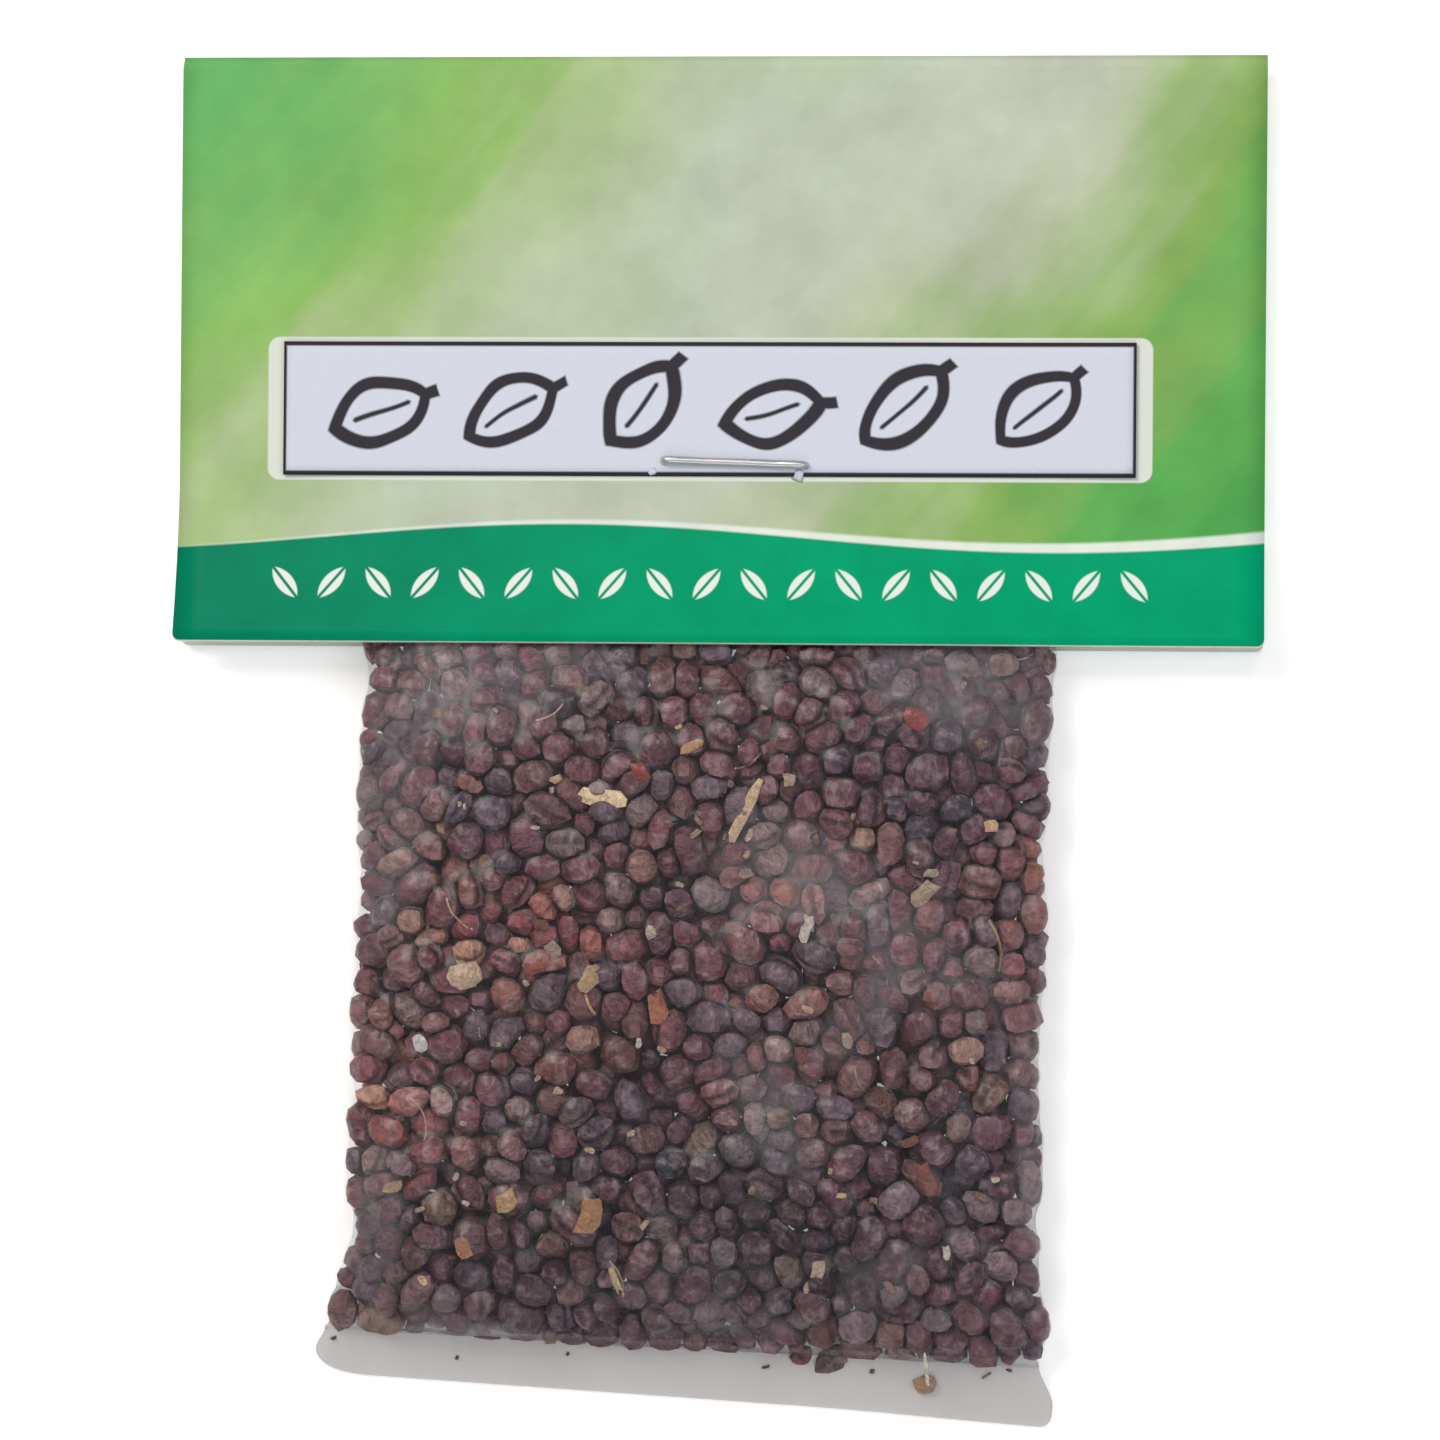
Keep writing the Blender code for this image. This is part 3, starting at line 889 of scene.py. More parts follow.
@dataclass(frozen=True)
class DriedHusk:
    """Dried husk: a brittle, papery rind with fine ribs along it, dull and paler where it has split. The ribs
    stand 0.4 mm apart, and the colour is darker in their hollows, painted shade."""

    name: str = "dried_husk"
    rib: float = 0.4 * MM

    def material(self) -> bpy.types.Material:
        """Builds the husk; each crumb's own colour comes from the mesh.

        Returns:
            The material.
        """
        material, add = blank_material(self.name)
        tint = add("Attribute", attribute_name="tint")
        place = add("TexCoord").outputs["Object"]
        ribs = add("TexNoise", place, Scale=1 / self.rib, Detail=2.0, Distortion=1.2)
        # Painted shade: the colour darkens where the ribs' bump sinks and is lightest on their crests
        shaded = add("Mix", 1.0, tint, add("MapRange", ribs, 0.32, 0.68, 0.5, 0.96), **SHADED)
        bump = add("Bump", Height=ribs, Strength=0.7, Distance=0.25 * MM)
        return surface_of(material, add("BsdfPrincipled", shaded, Roughness=0.62, Normal=bump))


@dataclass(frozen=True)
class Crumb:
    """One crumb of husk: its place and size in millimetres, its turn in degrees and its colour."""

    x: float
    y: float
    length: float
    width: float
    turn: float
    colour: str
    bend: float = 0.35
    torn: float = 1.0


@dataclass(frozen=True)
class Fibre:
    """One loose fibre of husk: its ends, its bow to one side and its radius, in millimetres."""

    start: tuple[float, float]
    end: tuple[float, float]
    bow: float
    radius: float = 0.09
    colour: str = "cdb49a"


@dataclass
class HuskCrumbs:
    """Crumbs of husk among the seeds, each a bent, torn plate that lies on what is under it."""

    name: str = "husk_crumbs"
    stands_for: tuple = ("seed_fill",)
    placed: tuple = ()
    fibres: tuple[Fibre, ...] = ()
    strewn: int = 80
    fibre_steps: int = 9
    thickness: float = 0.25
    sharpest: float = math.radians(28)
    seed: int = 77
    colours: tuple = ("a38a7c", "b89f8c", "8c6450", "c4b1a4", "7a4640", "cfc2ba", "8d6e60", "cba888")

    def scattered(self) -> list[Crumb]:
        """Small crumbs strewn at random over the face of the bag.

        Returns:
            The crumbs.
        """
        rng = random.Random(self.seed)
        found = []
        for _ in range(self.strewn):
            length = rng.triangular(0.35, 1.7, 0.6)
            width = length * rng.uniform(0.4, 0.85)
            spot = (rng.uniform(-24.5, 24.5), rng.uniform(-46, 6))
            found.append(Crumb(*spot, length, width, rng.uniform(0, 180), rng.choice(self.colours)))
        return found

    def lie(self, crumb: Crumb, ground: BVHTree) -> Optional[Matrix]:
        """Where a crumb lies on the seeds below it.

        Args:
            crumb: the crumb.
            ground: the seeds.

        Returns:
            Its placement, or nothing where no seed carries it.
        """
        hits = []
        for dx, dy in ((0, 0), (0.45, 0), (-0.45, 0), (0, 0.45), (0, -0.45)):
            start = Vector((crumb.x + dx * crumb.length, crumb.y + dy * crumb.length, 20)) * MM
            place, normal, _, _ = ground.ray_cast(start, DOWN)
            if place is not None:
                hits.append((place, normal))
        if len(hits) < 3:
            return None
        up = sum((normal for _, normal in hits), Vector()).normalized()
        up = (up + UP * 1.2).normalized()
        place = max((place for place, _ in hits), key=lambda spot: spot.z)
        seat = Vector((crumb.x * MM, crumb.y * MM, place.z - 0.12 * MM))
        turn = Matrix.Rotation(math.radians(crumb.turn), 4, "Z")
        tilt = UP.rotation_difference(up).to_matrix().to_4x4()
        return Matrix.Translation(seat) @ tilt @ turn

    def add(self, shape: bmesh.types.BMesh, crumb: Crumb, where: Matrix, rng: random.Random) -> None:
        """Adds one crumb: a disc, pulled out to its corners, torn, arched, folded and given its wall.

        Args:
            shape: the piece's shape.
            crumb: the crumb.
            where: its placement.
            rng: the random numbers.
        """
        tint = shape.verts.layers.float_color["tint"]
        made = bmesh.ops.create_circle(shape, cap_ends=True, cap_tris=False, segments=9, radius=0.5)
        rim = made["verts"]
        faces = once(face for vert in rim for face in vert.link_faces)
        inner = bmesh.ops.inset_region(shape, faces=faces, thickness=0.2)["faces"]
        faces += inner
        faces += bmesh.ops.poke(shape, faces=[face for face in faces if len(face.verts) > 4])["faces"]
        verts = once(vert for face in faces if face.is_valid for vert in face.verts)
        crease, fold = rng.uniform(-0.2, 0.2), crumb.bend * rng.uniform(0.5, 1.3)
        for vert in verts:
            square = (vert.co.length / max(abs(vert.co.x), abs(vert.co.y), 1e-6)) ** 0.8
            ragged = square + (rng.uniform(-0.32, 0.16) * crumb.torn if vert in rim else 0)
            along, aside = vert.co.x * crumb.length * ragged, vert.co.y * crumb.width * ragged
            arch = crumb.bend * (crumb.width * (0.25 - vert.co.y**2) * 2 + rng.uniform(-0.12, 0.12))
            arch -= fold * abs(vert.co.x - crease) * min(crumb.length, 2.5)
            vert.co = Vector((along, aside, arch)) * MM
        faces = once(face for vert in verts for face in vert.link_faces)
        grown = bmesh.ops.solidify(shape, geom=verts + faces, thickness=-self.thickness * MM)
        verts = verts + [item for item in grown["geom"] if isinstance(item, bmesh.types.BMVert)]
        bmesh.ops.transform(shape, matrix=where, verts=verts)
        for vert in verts:
            vert[tint] = linear(crumb.colour)

    def add_fibre(self, shape: bmesh.types.BMesh, fibre: Fibre, ground: BVHTree) -> None:
        """Adds one fibre, laid over whatever is under it.

        Args:
            shape: the piece's shape.
            fibre: the fibre.
            ground: what it is laid over.
        """
        first, last = Vector((*fibre.start, 0)), Vector((*fibre.end, 0))
        aside = (last - first).cross(UP).normalized() * fibre.bow
        route, height = [], 0.0
        for step in range(self.fibre_steps + 1):
            share = step / self.fibre_steps
            spot = first.lerp(last, share) + aside * 4 * share * (1 - share)
            place, _, _, _ = ground.ray_cast((spot + UP * 20) * MM, DOWN)
            if place is not None:
                height = between(height, place.z, 0.6 if route else 1.0)
            route.append(Vector((spot.x * MM, spot.y * MM, height + fibre.radius * MM)))
        tint = shape.verts.layers.float_color["tint"]
        for vert in drawn_along(shape, route, fibre.radius * MM, 5):
            vert[tint] = linear(fibre.colour)

    def build(self, ground: BVHTree) -> tuple[bpy.types.Object, Solid]:
        """Builds the crumbs and fibres.

        Args:
            ground: the seeds that they lie on.

        Returns:
            The piece, and its shape for the film to lie on.
        """
        rng = random.Random(self.seed + 1)
        shape = bmesh.new()
        shape.verts.layers.float_color.new("tint")
        count = 0
        for crumb in [*self.placed, *self.scattered()]:
            where = self.lie(crumb, ground)
            if where is not None:
                self.add(shape, crumb, where, rng)
                count += 1
        for fibre in self.fibres:
            self.add_fibre(shape, fibre, ground)
        bmesh.ops.recalc_face_normals(shape, faces=shape.faces)
        bmesh.ops.triangulate(shape, faces=shape.faces)
        shape.verts.index_update()
        solid = Solid(
            np.array([vert.co[:] for vert in shape.verts]),
            np.array([[vert.index for vert in face.verts] for face in shape.faces]),
        )
        piece = piece_of(self.name, shape, [DriedHusk().material()], self.stands_for)
        piece.data.set_sharp_from_angle(angle=self.sharpest)
        log.info("%s: %d crumbs", self.name, count)
        return piece, solid


@dataclass(frozen=True)
class ClearFilm:
    """Blown polypropylene film 40 micrometres thick: clear and glossy where it is drawn tight on
    the seeds, and milky where it has been rubbed or stands off them."""

    name: str = "polypropylene_film"
    gloss: float = 0.23
    shine: float = 0.11
    cloud: float = 4.2 * MM
    crinkle: float = 0.9 * MM

    def material(self) -> bpy.types.Material:
        """Builds the film; how milky each place is comes from the mesh.

        Returns:
            The material.
        """
        material, add = blank_material(self.name)
        milk = add("Attribute", attribute_name="milk").outputs["Fac"]
        place = add("TexCoord").outputs["Object"]
        # Clouds of rubbed film 4 mm across, drawn out along the bag
        drawn = add("Mapping", place, Scale=(1.0, 0.6, 1.0))
        clouds = add("TexNoise", drawn, Scale=1 / self.cloud, Detail=1.0, Roughness=0.6)
        patch = add("MapRange", clouds, 0.34, 0.66, 0.75, 1.25)
        sealed = add("MapRange", milk, 0.4, 0.58)
        mottled = add("Math MULTIPLY", milk, add("Math MULTIPLY_ADD", patch, 0.25, 0.75))
        haze = add("Mix", sealed, add("Math MULTIPLY", milk, patch), mottled)
        # Crinkles 0.9 mm apart, far finer than the folds that the mesh has
        ripple = add("TexNoise", place, Scale=1 / self.crinkle, Detail=1.0)
        bump = add("Bump", Height=ripple, Strength=0.12, Distance=0.12 * MM)
        shine = add("MapRange", add("Fresnel", IOR=1.49), 0.04, 0.5, 0.02, self.shine)
        mirror = add("BsdfGlossy", Roughness=self.gloss, Normal=bump)
        skin = add("MixShader", shine, add("BsdfTransparent"), mirror)
        dust = add("Mix", sealed, "999599", "cecac8", **INK)
        return surface_of(material, add("MixShader", haze, skin, add("BsdfDiffuse", dust)))


@dataclass(frozen=True)
class FilmInside:
    """The film's inner face, which clings to the seeds: almost all that it does is let light by,
    with a faint shine where it is seen at a slant."""

    name: str = "film_inside"

    def material(self) -> bpy.types.Material:
        """Builds the inner face.

        Returns:
            The material.
        """
        material, add = blank_material(self.name)
        share = add("MapRange", add("Fresnel", IOR=1.2), To_Max=0.03)
        mirror = add("BsdfGlossy", Roughness=0.2)
        return surface_of(material, add("MixShader", share, add("BsdfTransparent"), mirror))


@dataclass
class FilmBag:
    """The film bag: a tube of film drawn tight over the seeds, sealed flat along its foot. A length
    here that isn't times MM is in millimetres, as the sheet's thickness is."""

    form: BagForm
    columns: int = 118
    neck_rows: int = 12
    fill_rows: int = 111
    curl_rows: int = 20
    flange_rows: int = 15
    neck_y: float = 18 * MM
    curl: float = 9 * MM
    stand_off: float = 1.5
    deepest: float = 3.6
    pull: float = 0.03
    left_bulge: float = 0.9 * MM
    left_round: float = 3.6 * MM
    round_from: float = 0.52
    right_dip: float = 0.3 * MM
    trim: float = 0.3 * MM
    tuck: float = 1.5 * MM
    right_trim: float = 0.4 * MM
    rounds: int = 220
    thickness: float = 0.06
    clearance: float = 0.1
    seal_half: tuple = (0.1, 0.04)
    card_from: float = 7.5 * MM
    back_from: float = 5.8 * MM
    back_top: float = 1.18 * MM
    milky_patches: tuple[Patch, ...] = ()
    least_milk: float = 0.03
    seal_milk: float = 0.62
    most_milk: float = 0.7

    def stations(self) -> np.ndarray:
        """Rows down the bag, from the mouth to the edge of the flange, in metres.

        Returns:
            How far up the bag each row stands.
        """
        form = self.form
        neck = np.linspace(form.mouth_y, self.neck_y, self.neck_rows + 1)[:-1]
        fill = np.linspace(self.neck_y, form.seam_y + self.curl, self.fill_rows + 1)[:-1]
        curl = form.seam_y + self.curl * (1 - np.sin(np.linspace(0, math.pi / 2, self.curl_rows)))
        flange = form.seam_y - form.flange * np.sin(np.linspace(0, math.pi / 2, self.flange_rows + 1))[1:]
        return np.concatenate([neck, fill, curl, flange])

    def section(self, y: float) -> np.ndarray:
        """One closed row round the bag at y, over the top from left to right and back underneath.

        Args:
            y: how far up the bag the row stands.

        Returns:
            Its points.
        """
        share = np.linspace(-1, 1, self.columns + 1)
        spread = 0.45 * share + 0.55 * np.sin(share * math.pi / 2)
        x = spread * self.form.half_width(y)
        top, base = self.form.skin(x, np.full_like(x, y))
        flange = float(np.clip((self.form.seam_y - y) / (0.4 * MM), 0, 1))
        rim = float(self.form.rim_height(y))
        end = float(ease((self.form.seam_y - self.form.flange + 0.6 * MM - y) / (0.6 * MM)))
        seal = between(*self.seal_half, end) * MM
        top = between(top, rim + seal, flange)
        base = between(base, rim - seal, flange)
        over = np.stack([x, np.full_like(x, y), top], axis=1)
        under = np.stack([x, np.full_like(x, y), base], axis=1)[::-1]
        return np.concatenate([over, under])

    def shape_flange(self, rows: np.ndarray, smooth: np.ndarray) -> None:
        """Bulges and rounds the flange's left end and draws its right end out to a point, in place.

        Args:
            rows: how far up the bag each row stands.
            smooth: the rows' points.
        """
        form = self.form
        share = np.clip((form.seam_y - rows) / form.flange, 0, 1)[:, None]
        side = smooth[:, :, 0] / form.flat_half
        past = np.clip((share - self.round_from) / (1 - self.round_from), 0, 1)
        out = self.left_bulge * ease(share / self.round_from) - self.left_round * (1 - np.sqrt(1 - past**2))
        smooth[:, :, 0] -= out * ease((-side - 0.6) / 0.4)
        smooth[:, :, 1] += (self.trim - self.right_dip * ease((side - 0.3) / 0.7)) * share
        by_seam = ease(1 - np.abs(form.seam_y - rows) / (3.4 * MM))[:, None]
        smooth[:, :, 0] -= (self.tuck * by_seam + self.right_trim * share) * ease((side - 0.85) / 0.15)

    def inward(self, points: np.ndarray) -> np.ndarray:
        """Finds which way is in.

        Args:
            points: rows of points round the bag.

        Returns:
            Unit normals at them, towards the bag's inside.
        """
        along = np.roll(points, -1, axis=1) - np.roll(points, 1, axis=1)
        down = np.empty_like(points)
        down[1:-1] = points[2:] - points[:-2]
        down[0], down[-1] = points[1] - points[0], points[-1] - points[-2]
        normals = np.cross(along, down)
        normals /= np.maximum(np.linalg.norm(normals, axis=2, keepdims=True), 1e-12)
        middle = points.mean(axis=1, keepdims=True)
        return -normals if (normals * (middle - points)).sum() < 0 else normals

    def milkiness(self, points: np.ndarray, rows: np.ndarray, loose: np.ndarray) -> np.ndarray:
        """How milky the film is at each point, from the marked patches and the flange.

        Args:
            points: the film's points.
            rows: how far up the bag each row of them stands.
            loose: how far each point stands off the seeds, in millimetres.

        Returns:
            A share for each point.
        """
        x, y = points[..., 0] / MM, points[..., 1] / MM
        found = self.least_milk + sum(patch.share(x, y) for patch in self.milky_patches)
        found = found * between(0.75, 1.5, ease(loose / 0.7))
        sealed = ease((self.form.seam_y + 0.1 * MM - rows) / (0.5 * MM))[:, None]
        under = np.arange(points.shape[1])[None, :] > self.columns
        behind = ease((self.form.seam_y + 4.5 * MM - rows) / (1.5 * MM))[:, None] * under
        return np.clip(between(found, self.seal_milk, np.maximum(sealed, behind)), 0, self.most_milk)

    def drawn_tight(
        self, start: np.ndarray, held: np.ndarray, solid: BVHTree
    ) -> tuple[np.ndarray, np.ndarray]:
        """Draws the film in until it lies on the seeds and bridges the gaps between them.

        Args:
            start: rows of points that stand off the seeds.
            held: how free each row is, from 0 where it is fixed to 1.
            solid: what it is drawn on to.

        Returns:
            The points of the film's outer face, and how far each stands off, in millimetres.
        """
        inward = self.inward(start)
        room = np.zeros(start.shape[:2])
        for row, column in np.argwhere(np.repeat(held[:, None] > 0, start.shape[1], axis=1)):
            origin = Vector(start[row, column])
            _, _, _, far = solid.ray_cast(origin, Vector(inward[row, column]), self.deepest * MM)
            room[row, column] = self.deepest if far is None else far / MM - self.thickness - self.clearance
        depth = np.zeros_like(room)
        for _ in range(self.rounds):
            around = np.roll(depth, 1, axis=1) + np.roll(depth, -1, axis=1)
            around[1:-1] += depth[2:] + depth[:-2]
            around[0] += 2 * depth[1]
            around[-1] += 2 * depth[-2]
            depth = np.minimum(around / 4 + self.pull, room) * (held[:, None] > 0)
        return start + inward * depth[..., None] * MM, room - depth

    def build(self, solid: BVHTree) -> BVHTree:
        """Builds the bag over the seeds and crumbs.

        Args:
            solid: the seeds and crumbs.

        Returns:
            The film's outer face, for whatever lies on it.
        """
        form = self.form
        rows = self.stations()
        smooth = np.array([self.section(y) for y in rows])
        self.shape_flange(rows, smooth)
        held = ease((rows - form.seam_y) / (0.3 * MM)) * ease((self.neck_y - rows) / (3 * MM))
        corner = ease((np.abs(smooth[:, :, 0]) / form.flat_half - 0.78) / 0.2)
        corner = corner * ease(1 - (rows - form.seam_y) / (3 * MM))[:, None]
        away = self.stand_off * MM * held[:, None] * (1 - 0.93 * corner)
        start = smooth - self.inward(smooth) * away[..., None]
        drawn, loose = self.drawn_tight(form.settled(start), held, solid)
        # It stays under the front panel, over the table and over the back panel
        y, z = drawn[..., 1], drawn[..., 2]
        lid = np.where(y > self.card_from, form.crest(y) + 0.05 * MM, np.inf)
        floor = ease((y - self.back_from) / (0.8 * MM)) * self.back_top
        drawn[..., 2] = np.maximum(np.maximum(np.minimum(z, lid), 0.03 * MM), floor)
        shape = bmesh.new()
        count_down, count_round = drawn.shape[:2]
        bmesh.ops.create_grid(shape, x_segments=count_down - 1, y_segments=count_round, size=1)
        milk = shape.verts.layers.float.new("milk")
        order = sorted(shape.verts, key=lambda vert: (round(vert.co.x, 5), round(vert.co.y, 5)))
        cloudy = self.milkiness(drawn, rows, loose)
        for index, vert in enumerate(order):
            row, column = divmod(index, count_round + 1)
            column %= count_round
            vert.co = drawn[row, column]
            vert[milk] = cloudy[row, column]
        bmesh.ops.remove_doubles(shape, verts=shape.verts, dist=1e-6)
        bmesh.ops.recalc_face_normals(shape, faces=shape.faces)
        face = BVHTree.FromBMesh(shape)
        finishes = [ClearFilm().material(), FilmInside().material()]
        piece = piece_of("film_pouch", shape, finishes, ["film_bag"])
        wall = piece.modifiers.new("wall", "SOLIDIFY")
        wall.thickness = self.thickness * MM
        wall.offset = -1
        wall.material_offset = 1
        log.info("film_pouch: %d rows of %d points", count_down, count_round)
        return face


@dataclass(frozen=True)
class CoatedPrint:
    """Offset print on coated card: a soft green and beige wash with slanting streaks, over a dark
    green foot with a row of small leaves. The coating is smooth with a low, satin gloss."""

    name: str = "coated_print"
    gloss: float = 0.36
    streak_angle: float = 52.0
    wash: tuple = (
        (-61, "6cb86a"),
        (-47, "92c06a"),
        (-41, "a9c486"),
        (-31, "b9c8a4"),
        (-20, "c1cbb6"),
        (-12, "c3ccb8"),
        (-5, "bbc5a6"),
        (2, "a1bd82"),
        (8, "8cb461"),
        (18, "66b15a"),
        (27, "54ac56"),
    )
    foot_colours: tuple = ("00805e", "00a270")
    rule_colour: str = "e6eee2"
    leaf_colour: str = "e9efe9"
    box_colour: str = "dfe4da"
    leaf_size: tuple = (1.75, 0.72)
    leaf_vein: float = 0.13
    leaf_pitch: float = 3.9
    leaf_count: int = 19
    leaf_centre: float = -0.7
    leaf_height: float = 5.2

    def pointed(self, add: Adder, spot: Source, length: float, width: float) -> bpy.types.Node:
        """Distance inside a leaf with two points: below 0 within it.

        Args:
            add: add_node for the material.
            spot: the place from the leaf's middle, its long axis along X.
            length: half the leaf's length.
            width: half its width.

        Returns:
            The distance, in the units of the place.
        """
        radius = (length**2 + width**2) / (2 * width)
        parts = add("SeparateXYZ", spot)
        side = add("Math ADD", add("Math ABSOLUTE", parts.outputs[1]), radius - width)
        return add("Math SUBTRACT", add("VectorMath LENGTH", add("CombineXYZ", parts, side)), radius)

    def edge(self, add: Adder, distance: Source, blur: float = 0.06) -> bpy.types.Node:
        """1 where the distance is below 0 and 0 above it, with an edge as soft as ink."""
        return add("MapRange", distance, -blur, blur, 1.0, 0.0)

    def boxed(self, add: Adder, spot: Source, centre: tuple, size: tuple, corner: float) -> bpy.types.Node:
        """Distance from a rounded box's outline: below 0 within it.

        Args:
            add: add_node for the material.
            spot: the place.
            centre: the box's middle.
            size: its width and height.
            corner: its corners' radius.

        Returns:
            The distance, in the units of the place.
        """
        away = add("VectorMath ABSOLUTE", add("VectorMath SUBTRACT", spot, (*centre, 0.0)))
        inner = (size[0] / 2 - corner, size[1] / 2 - corner, 0.0)
        past = add("VectorMath MAXIMUM", add("VectorMath SUBTRACT", away, inner), (0.0, 0.0, 0.0))
        return add("Math SUBTRACT", add("VectorMath LENGTH", past), corner)

    def field(self, add: Adder, spot: Source) -> bpy.types.Node:
        """The wash behind everything.

        Args:
            add: add_node for the material.
            spot: the place, in millimetres on the sheet.

        Returns:
            The wash's colour.
        """
        # Soft shapes 26 mm wide, and streaks 4 mm apart that slant up to the right
        soft = add("TexNoise", spot, Scale=1 / 26, Detail=2.0, Roughness=0.5)
        turned = add("Mapping", spot, Rotation=(0.0, 0.0, -math.radians(self.streak_angle)))
        drawn = add("Mapping", turned, Scale=(1 / 42, 1 / 4.6, 1.0))
        streaks = add("TexNoise", drawn, Scale=1.0, Detail=3.0, Roughness=0.55)
        bend = add("Math MULTIPLY", add("SeparateXYZ", turned).outputs[1], -1.0)
        for noise, reach in ((soft, 36.0), (streaks, 18.0)):
            bend = add("Math MULTIPLY_ADD", add("Math SUBTRACT", noise, 0.5), reach, bend)
        low, high = self.wash[0][0], self.wash[-1][0]
        ramp = add("ValToRGB", add("MapRange", bend, float(low), float(high)))
        return ramp_of(ramp, [((place - low) / (high - low), colour) for place, colour in self.wash])

    def leaves(self, add: Adder, across: Source, height: Source) -> bpy.types.Node:
        """Where the row of small leaves is, leaning to and fro, on the foot.

        Args:
            add: add_node for the material.
            across: the place along the foot, in millimetres.
            height: how far it is above the free edge.

        Returns:
            1 on a leaf and 0 off it.
        """
        span = self.leaf_count * self.leaf_pitch
        along = add("Math SUBTRACT", across, self.leaf_centre - span / 2)
        along = add("Math DIVIDE", along, self.leaf_pitch)
        off = add("Math MULTIPLY", add("Math SUBTRACT", add("Math FRACT", along), 0.5), self.leaf_pitch)
        parity = add("Math PINGPONG", add("Math FLOOR", along), 1.0)
        lean = add("Math MULTIPLY_ADD", parity, math.radians(76), math.radians(52))
        spot = add("CombineXYZ", off, add("Math SUBTRACT", height, self.leaf_height))
        turned = add("VectorRotate", spot, Angle=lean, rotation_type="Z_AXIS")
        leaf = self.edge(add, self.pointed(add, turned, *self.leaf_size))
        vein = add("Math ABSOLUTE", add("SeparateXYZ", turned).outputs[1])
        solid = add("Math MULTIPLY", leaf, self.edge(add, add("Math SUBTRACT", self.leaf_vein, vein), 0.05))
        inside = add("Math ABSOLUTE", add("Math SUBTRACT", across, self.leaf_centre))
        return add("Math MULTIPLY", solid, self.edge(add, add("Math SUBTRACT", inside, span / 2)))

    def material(self, sheet_length: float, window: tuple) -> bpy.types.Material:
        """Builds the print.

        Args:
            sheet_length: the sheet's length over the fold, in millimetres.
            window: the centre, size and corner of the pale box behind the label.

        Returns:
            The material, which reads the sheet's own UV map, a tenth of a metre to the unit.
        """
        material, add = blank_material(self.name)
        sheet = add("UVMap", uv_map="sheet")
        place = add("Mapping", sheet, Location=(-50.0, 0, 0), Scale=(100.0, 100.0, 1.0))
        parts = add("SeparateXYZ", place)
        across, along = parts.outputs[0], parts.outputs[1]
        height = add("Math MINIMUM", along, add("Math SUBTRACT", sheet_length, along))
        spot = add("CombineXYZ", across, height)
        # The foot's upper edge, one slow wave 80 mm long, under a pale rule that widens to the right
        wave = add("Math SINE", add("Math MULTIPLY_ADD", across, 0.0785, 2.55))
        over = add("Math SUBTRACT", height, add("Math MULTIPLY_ADD", wave, 1.15, 9.25))
        rule = add("Math SUBTRACT", over, add("Math MULTIPLY_ADD", across, 0.011, 0.5))
        dark = add("Mix", add("MapRange", across, -45.0, 5.0), *self.foot_colours, **INK)
        colour = add("Mix", self.edge(add, rule, 0.14), self.field(add, spot), self.rule_colour, **INK)
        colour = add("Mix", self.edge(add, over, 0.1), colour, dark, **INK)
        # Ink laid unevenly: patches 9 mm across, and the screen's grain drawn 0.5 mm coarse
        uneven = add("TexNoise", spot, Scale=1 / 9, Detail=5.0, Roughness=0.62)
        colour = add("Mix", 1.0, colour, add("MapRange", uneven, 0.3, 0.7, 0.86, 1.1), **SHADED)
        colour = add("Mix", self.leaves(add, across, height), colour, self.leaf_colour, **INK)
        box = self.edge(add, self.boxed(add, place, *window))
        colour = add("Mix", box, colour, self.box_colour, **INK)
        # The coating's orange peel, under a millimetre across and drawn as coarse as that to show
        peel = add("TexNoise", place, Scale=1.6, Detail=3.0)
        bump = add("Bump", Height=peel, Strength=0.12, Distance=0.1 * MM)
        rough = add("MapRange", peel, To_Min=self.gloss - 0.06, To_Max=self.gloss + 0.1)
        look = {"Roughness": rough, "Specular_IOR_Level": 0.04, "Normal": bump}
        return surface_of(material, add("BsdfPrincipled", colour, **look))


@dataclass(frozen=True)
class BareBoard:
    """Uncoated white board, as on the cut edges and the inner side: matt, with short fibres
    0.3 mm wide."""

    name: str = "bare_board"
    colour: str = "e4e2da"

    def material(self) -> bpy.types.Material:
        """Builds the board.

        Returns:
            The material.
        """
        material, add = blank_material(self.name)
        fibre = add("TexNoise", add("TexCoord").outputs["Object"], Scale=1 / (0.3 * MM), Detail=3.0)
        shade = add("MapRange", fibre, To_Min=0.88, To_Max=1.06)
        colour = add("Mix", 1.0, self.colour, shade, **SHADED)
        bump = add("Bump", Height=fibre, Strength=0.3, Distance=0.05 * MM)
        return surface_of(material, add("BsdfPrincipled", colour, Roughness=0.85, Normal=bump))


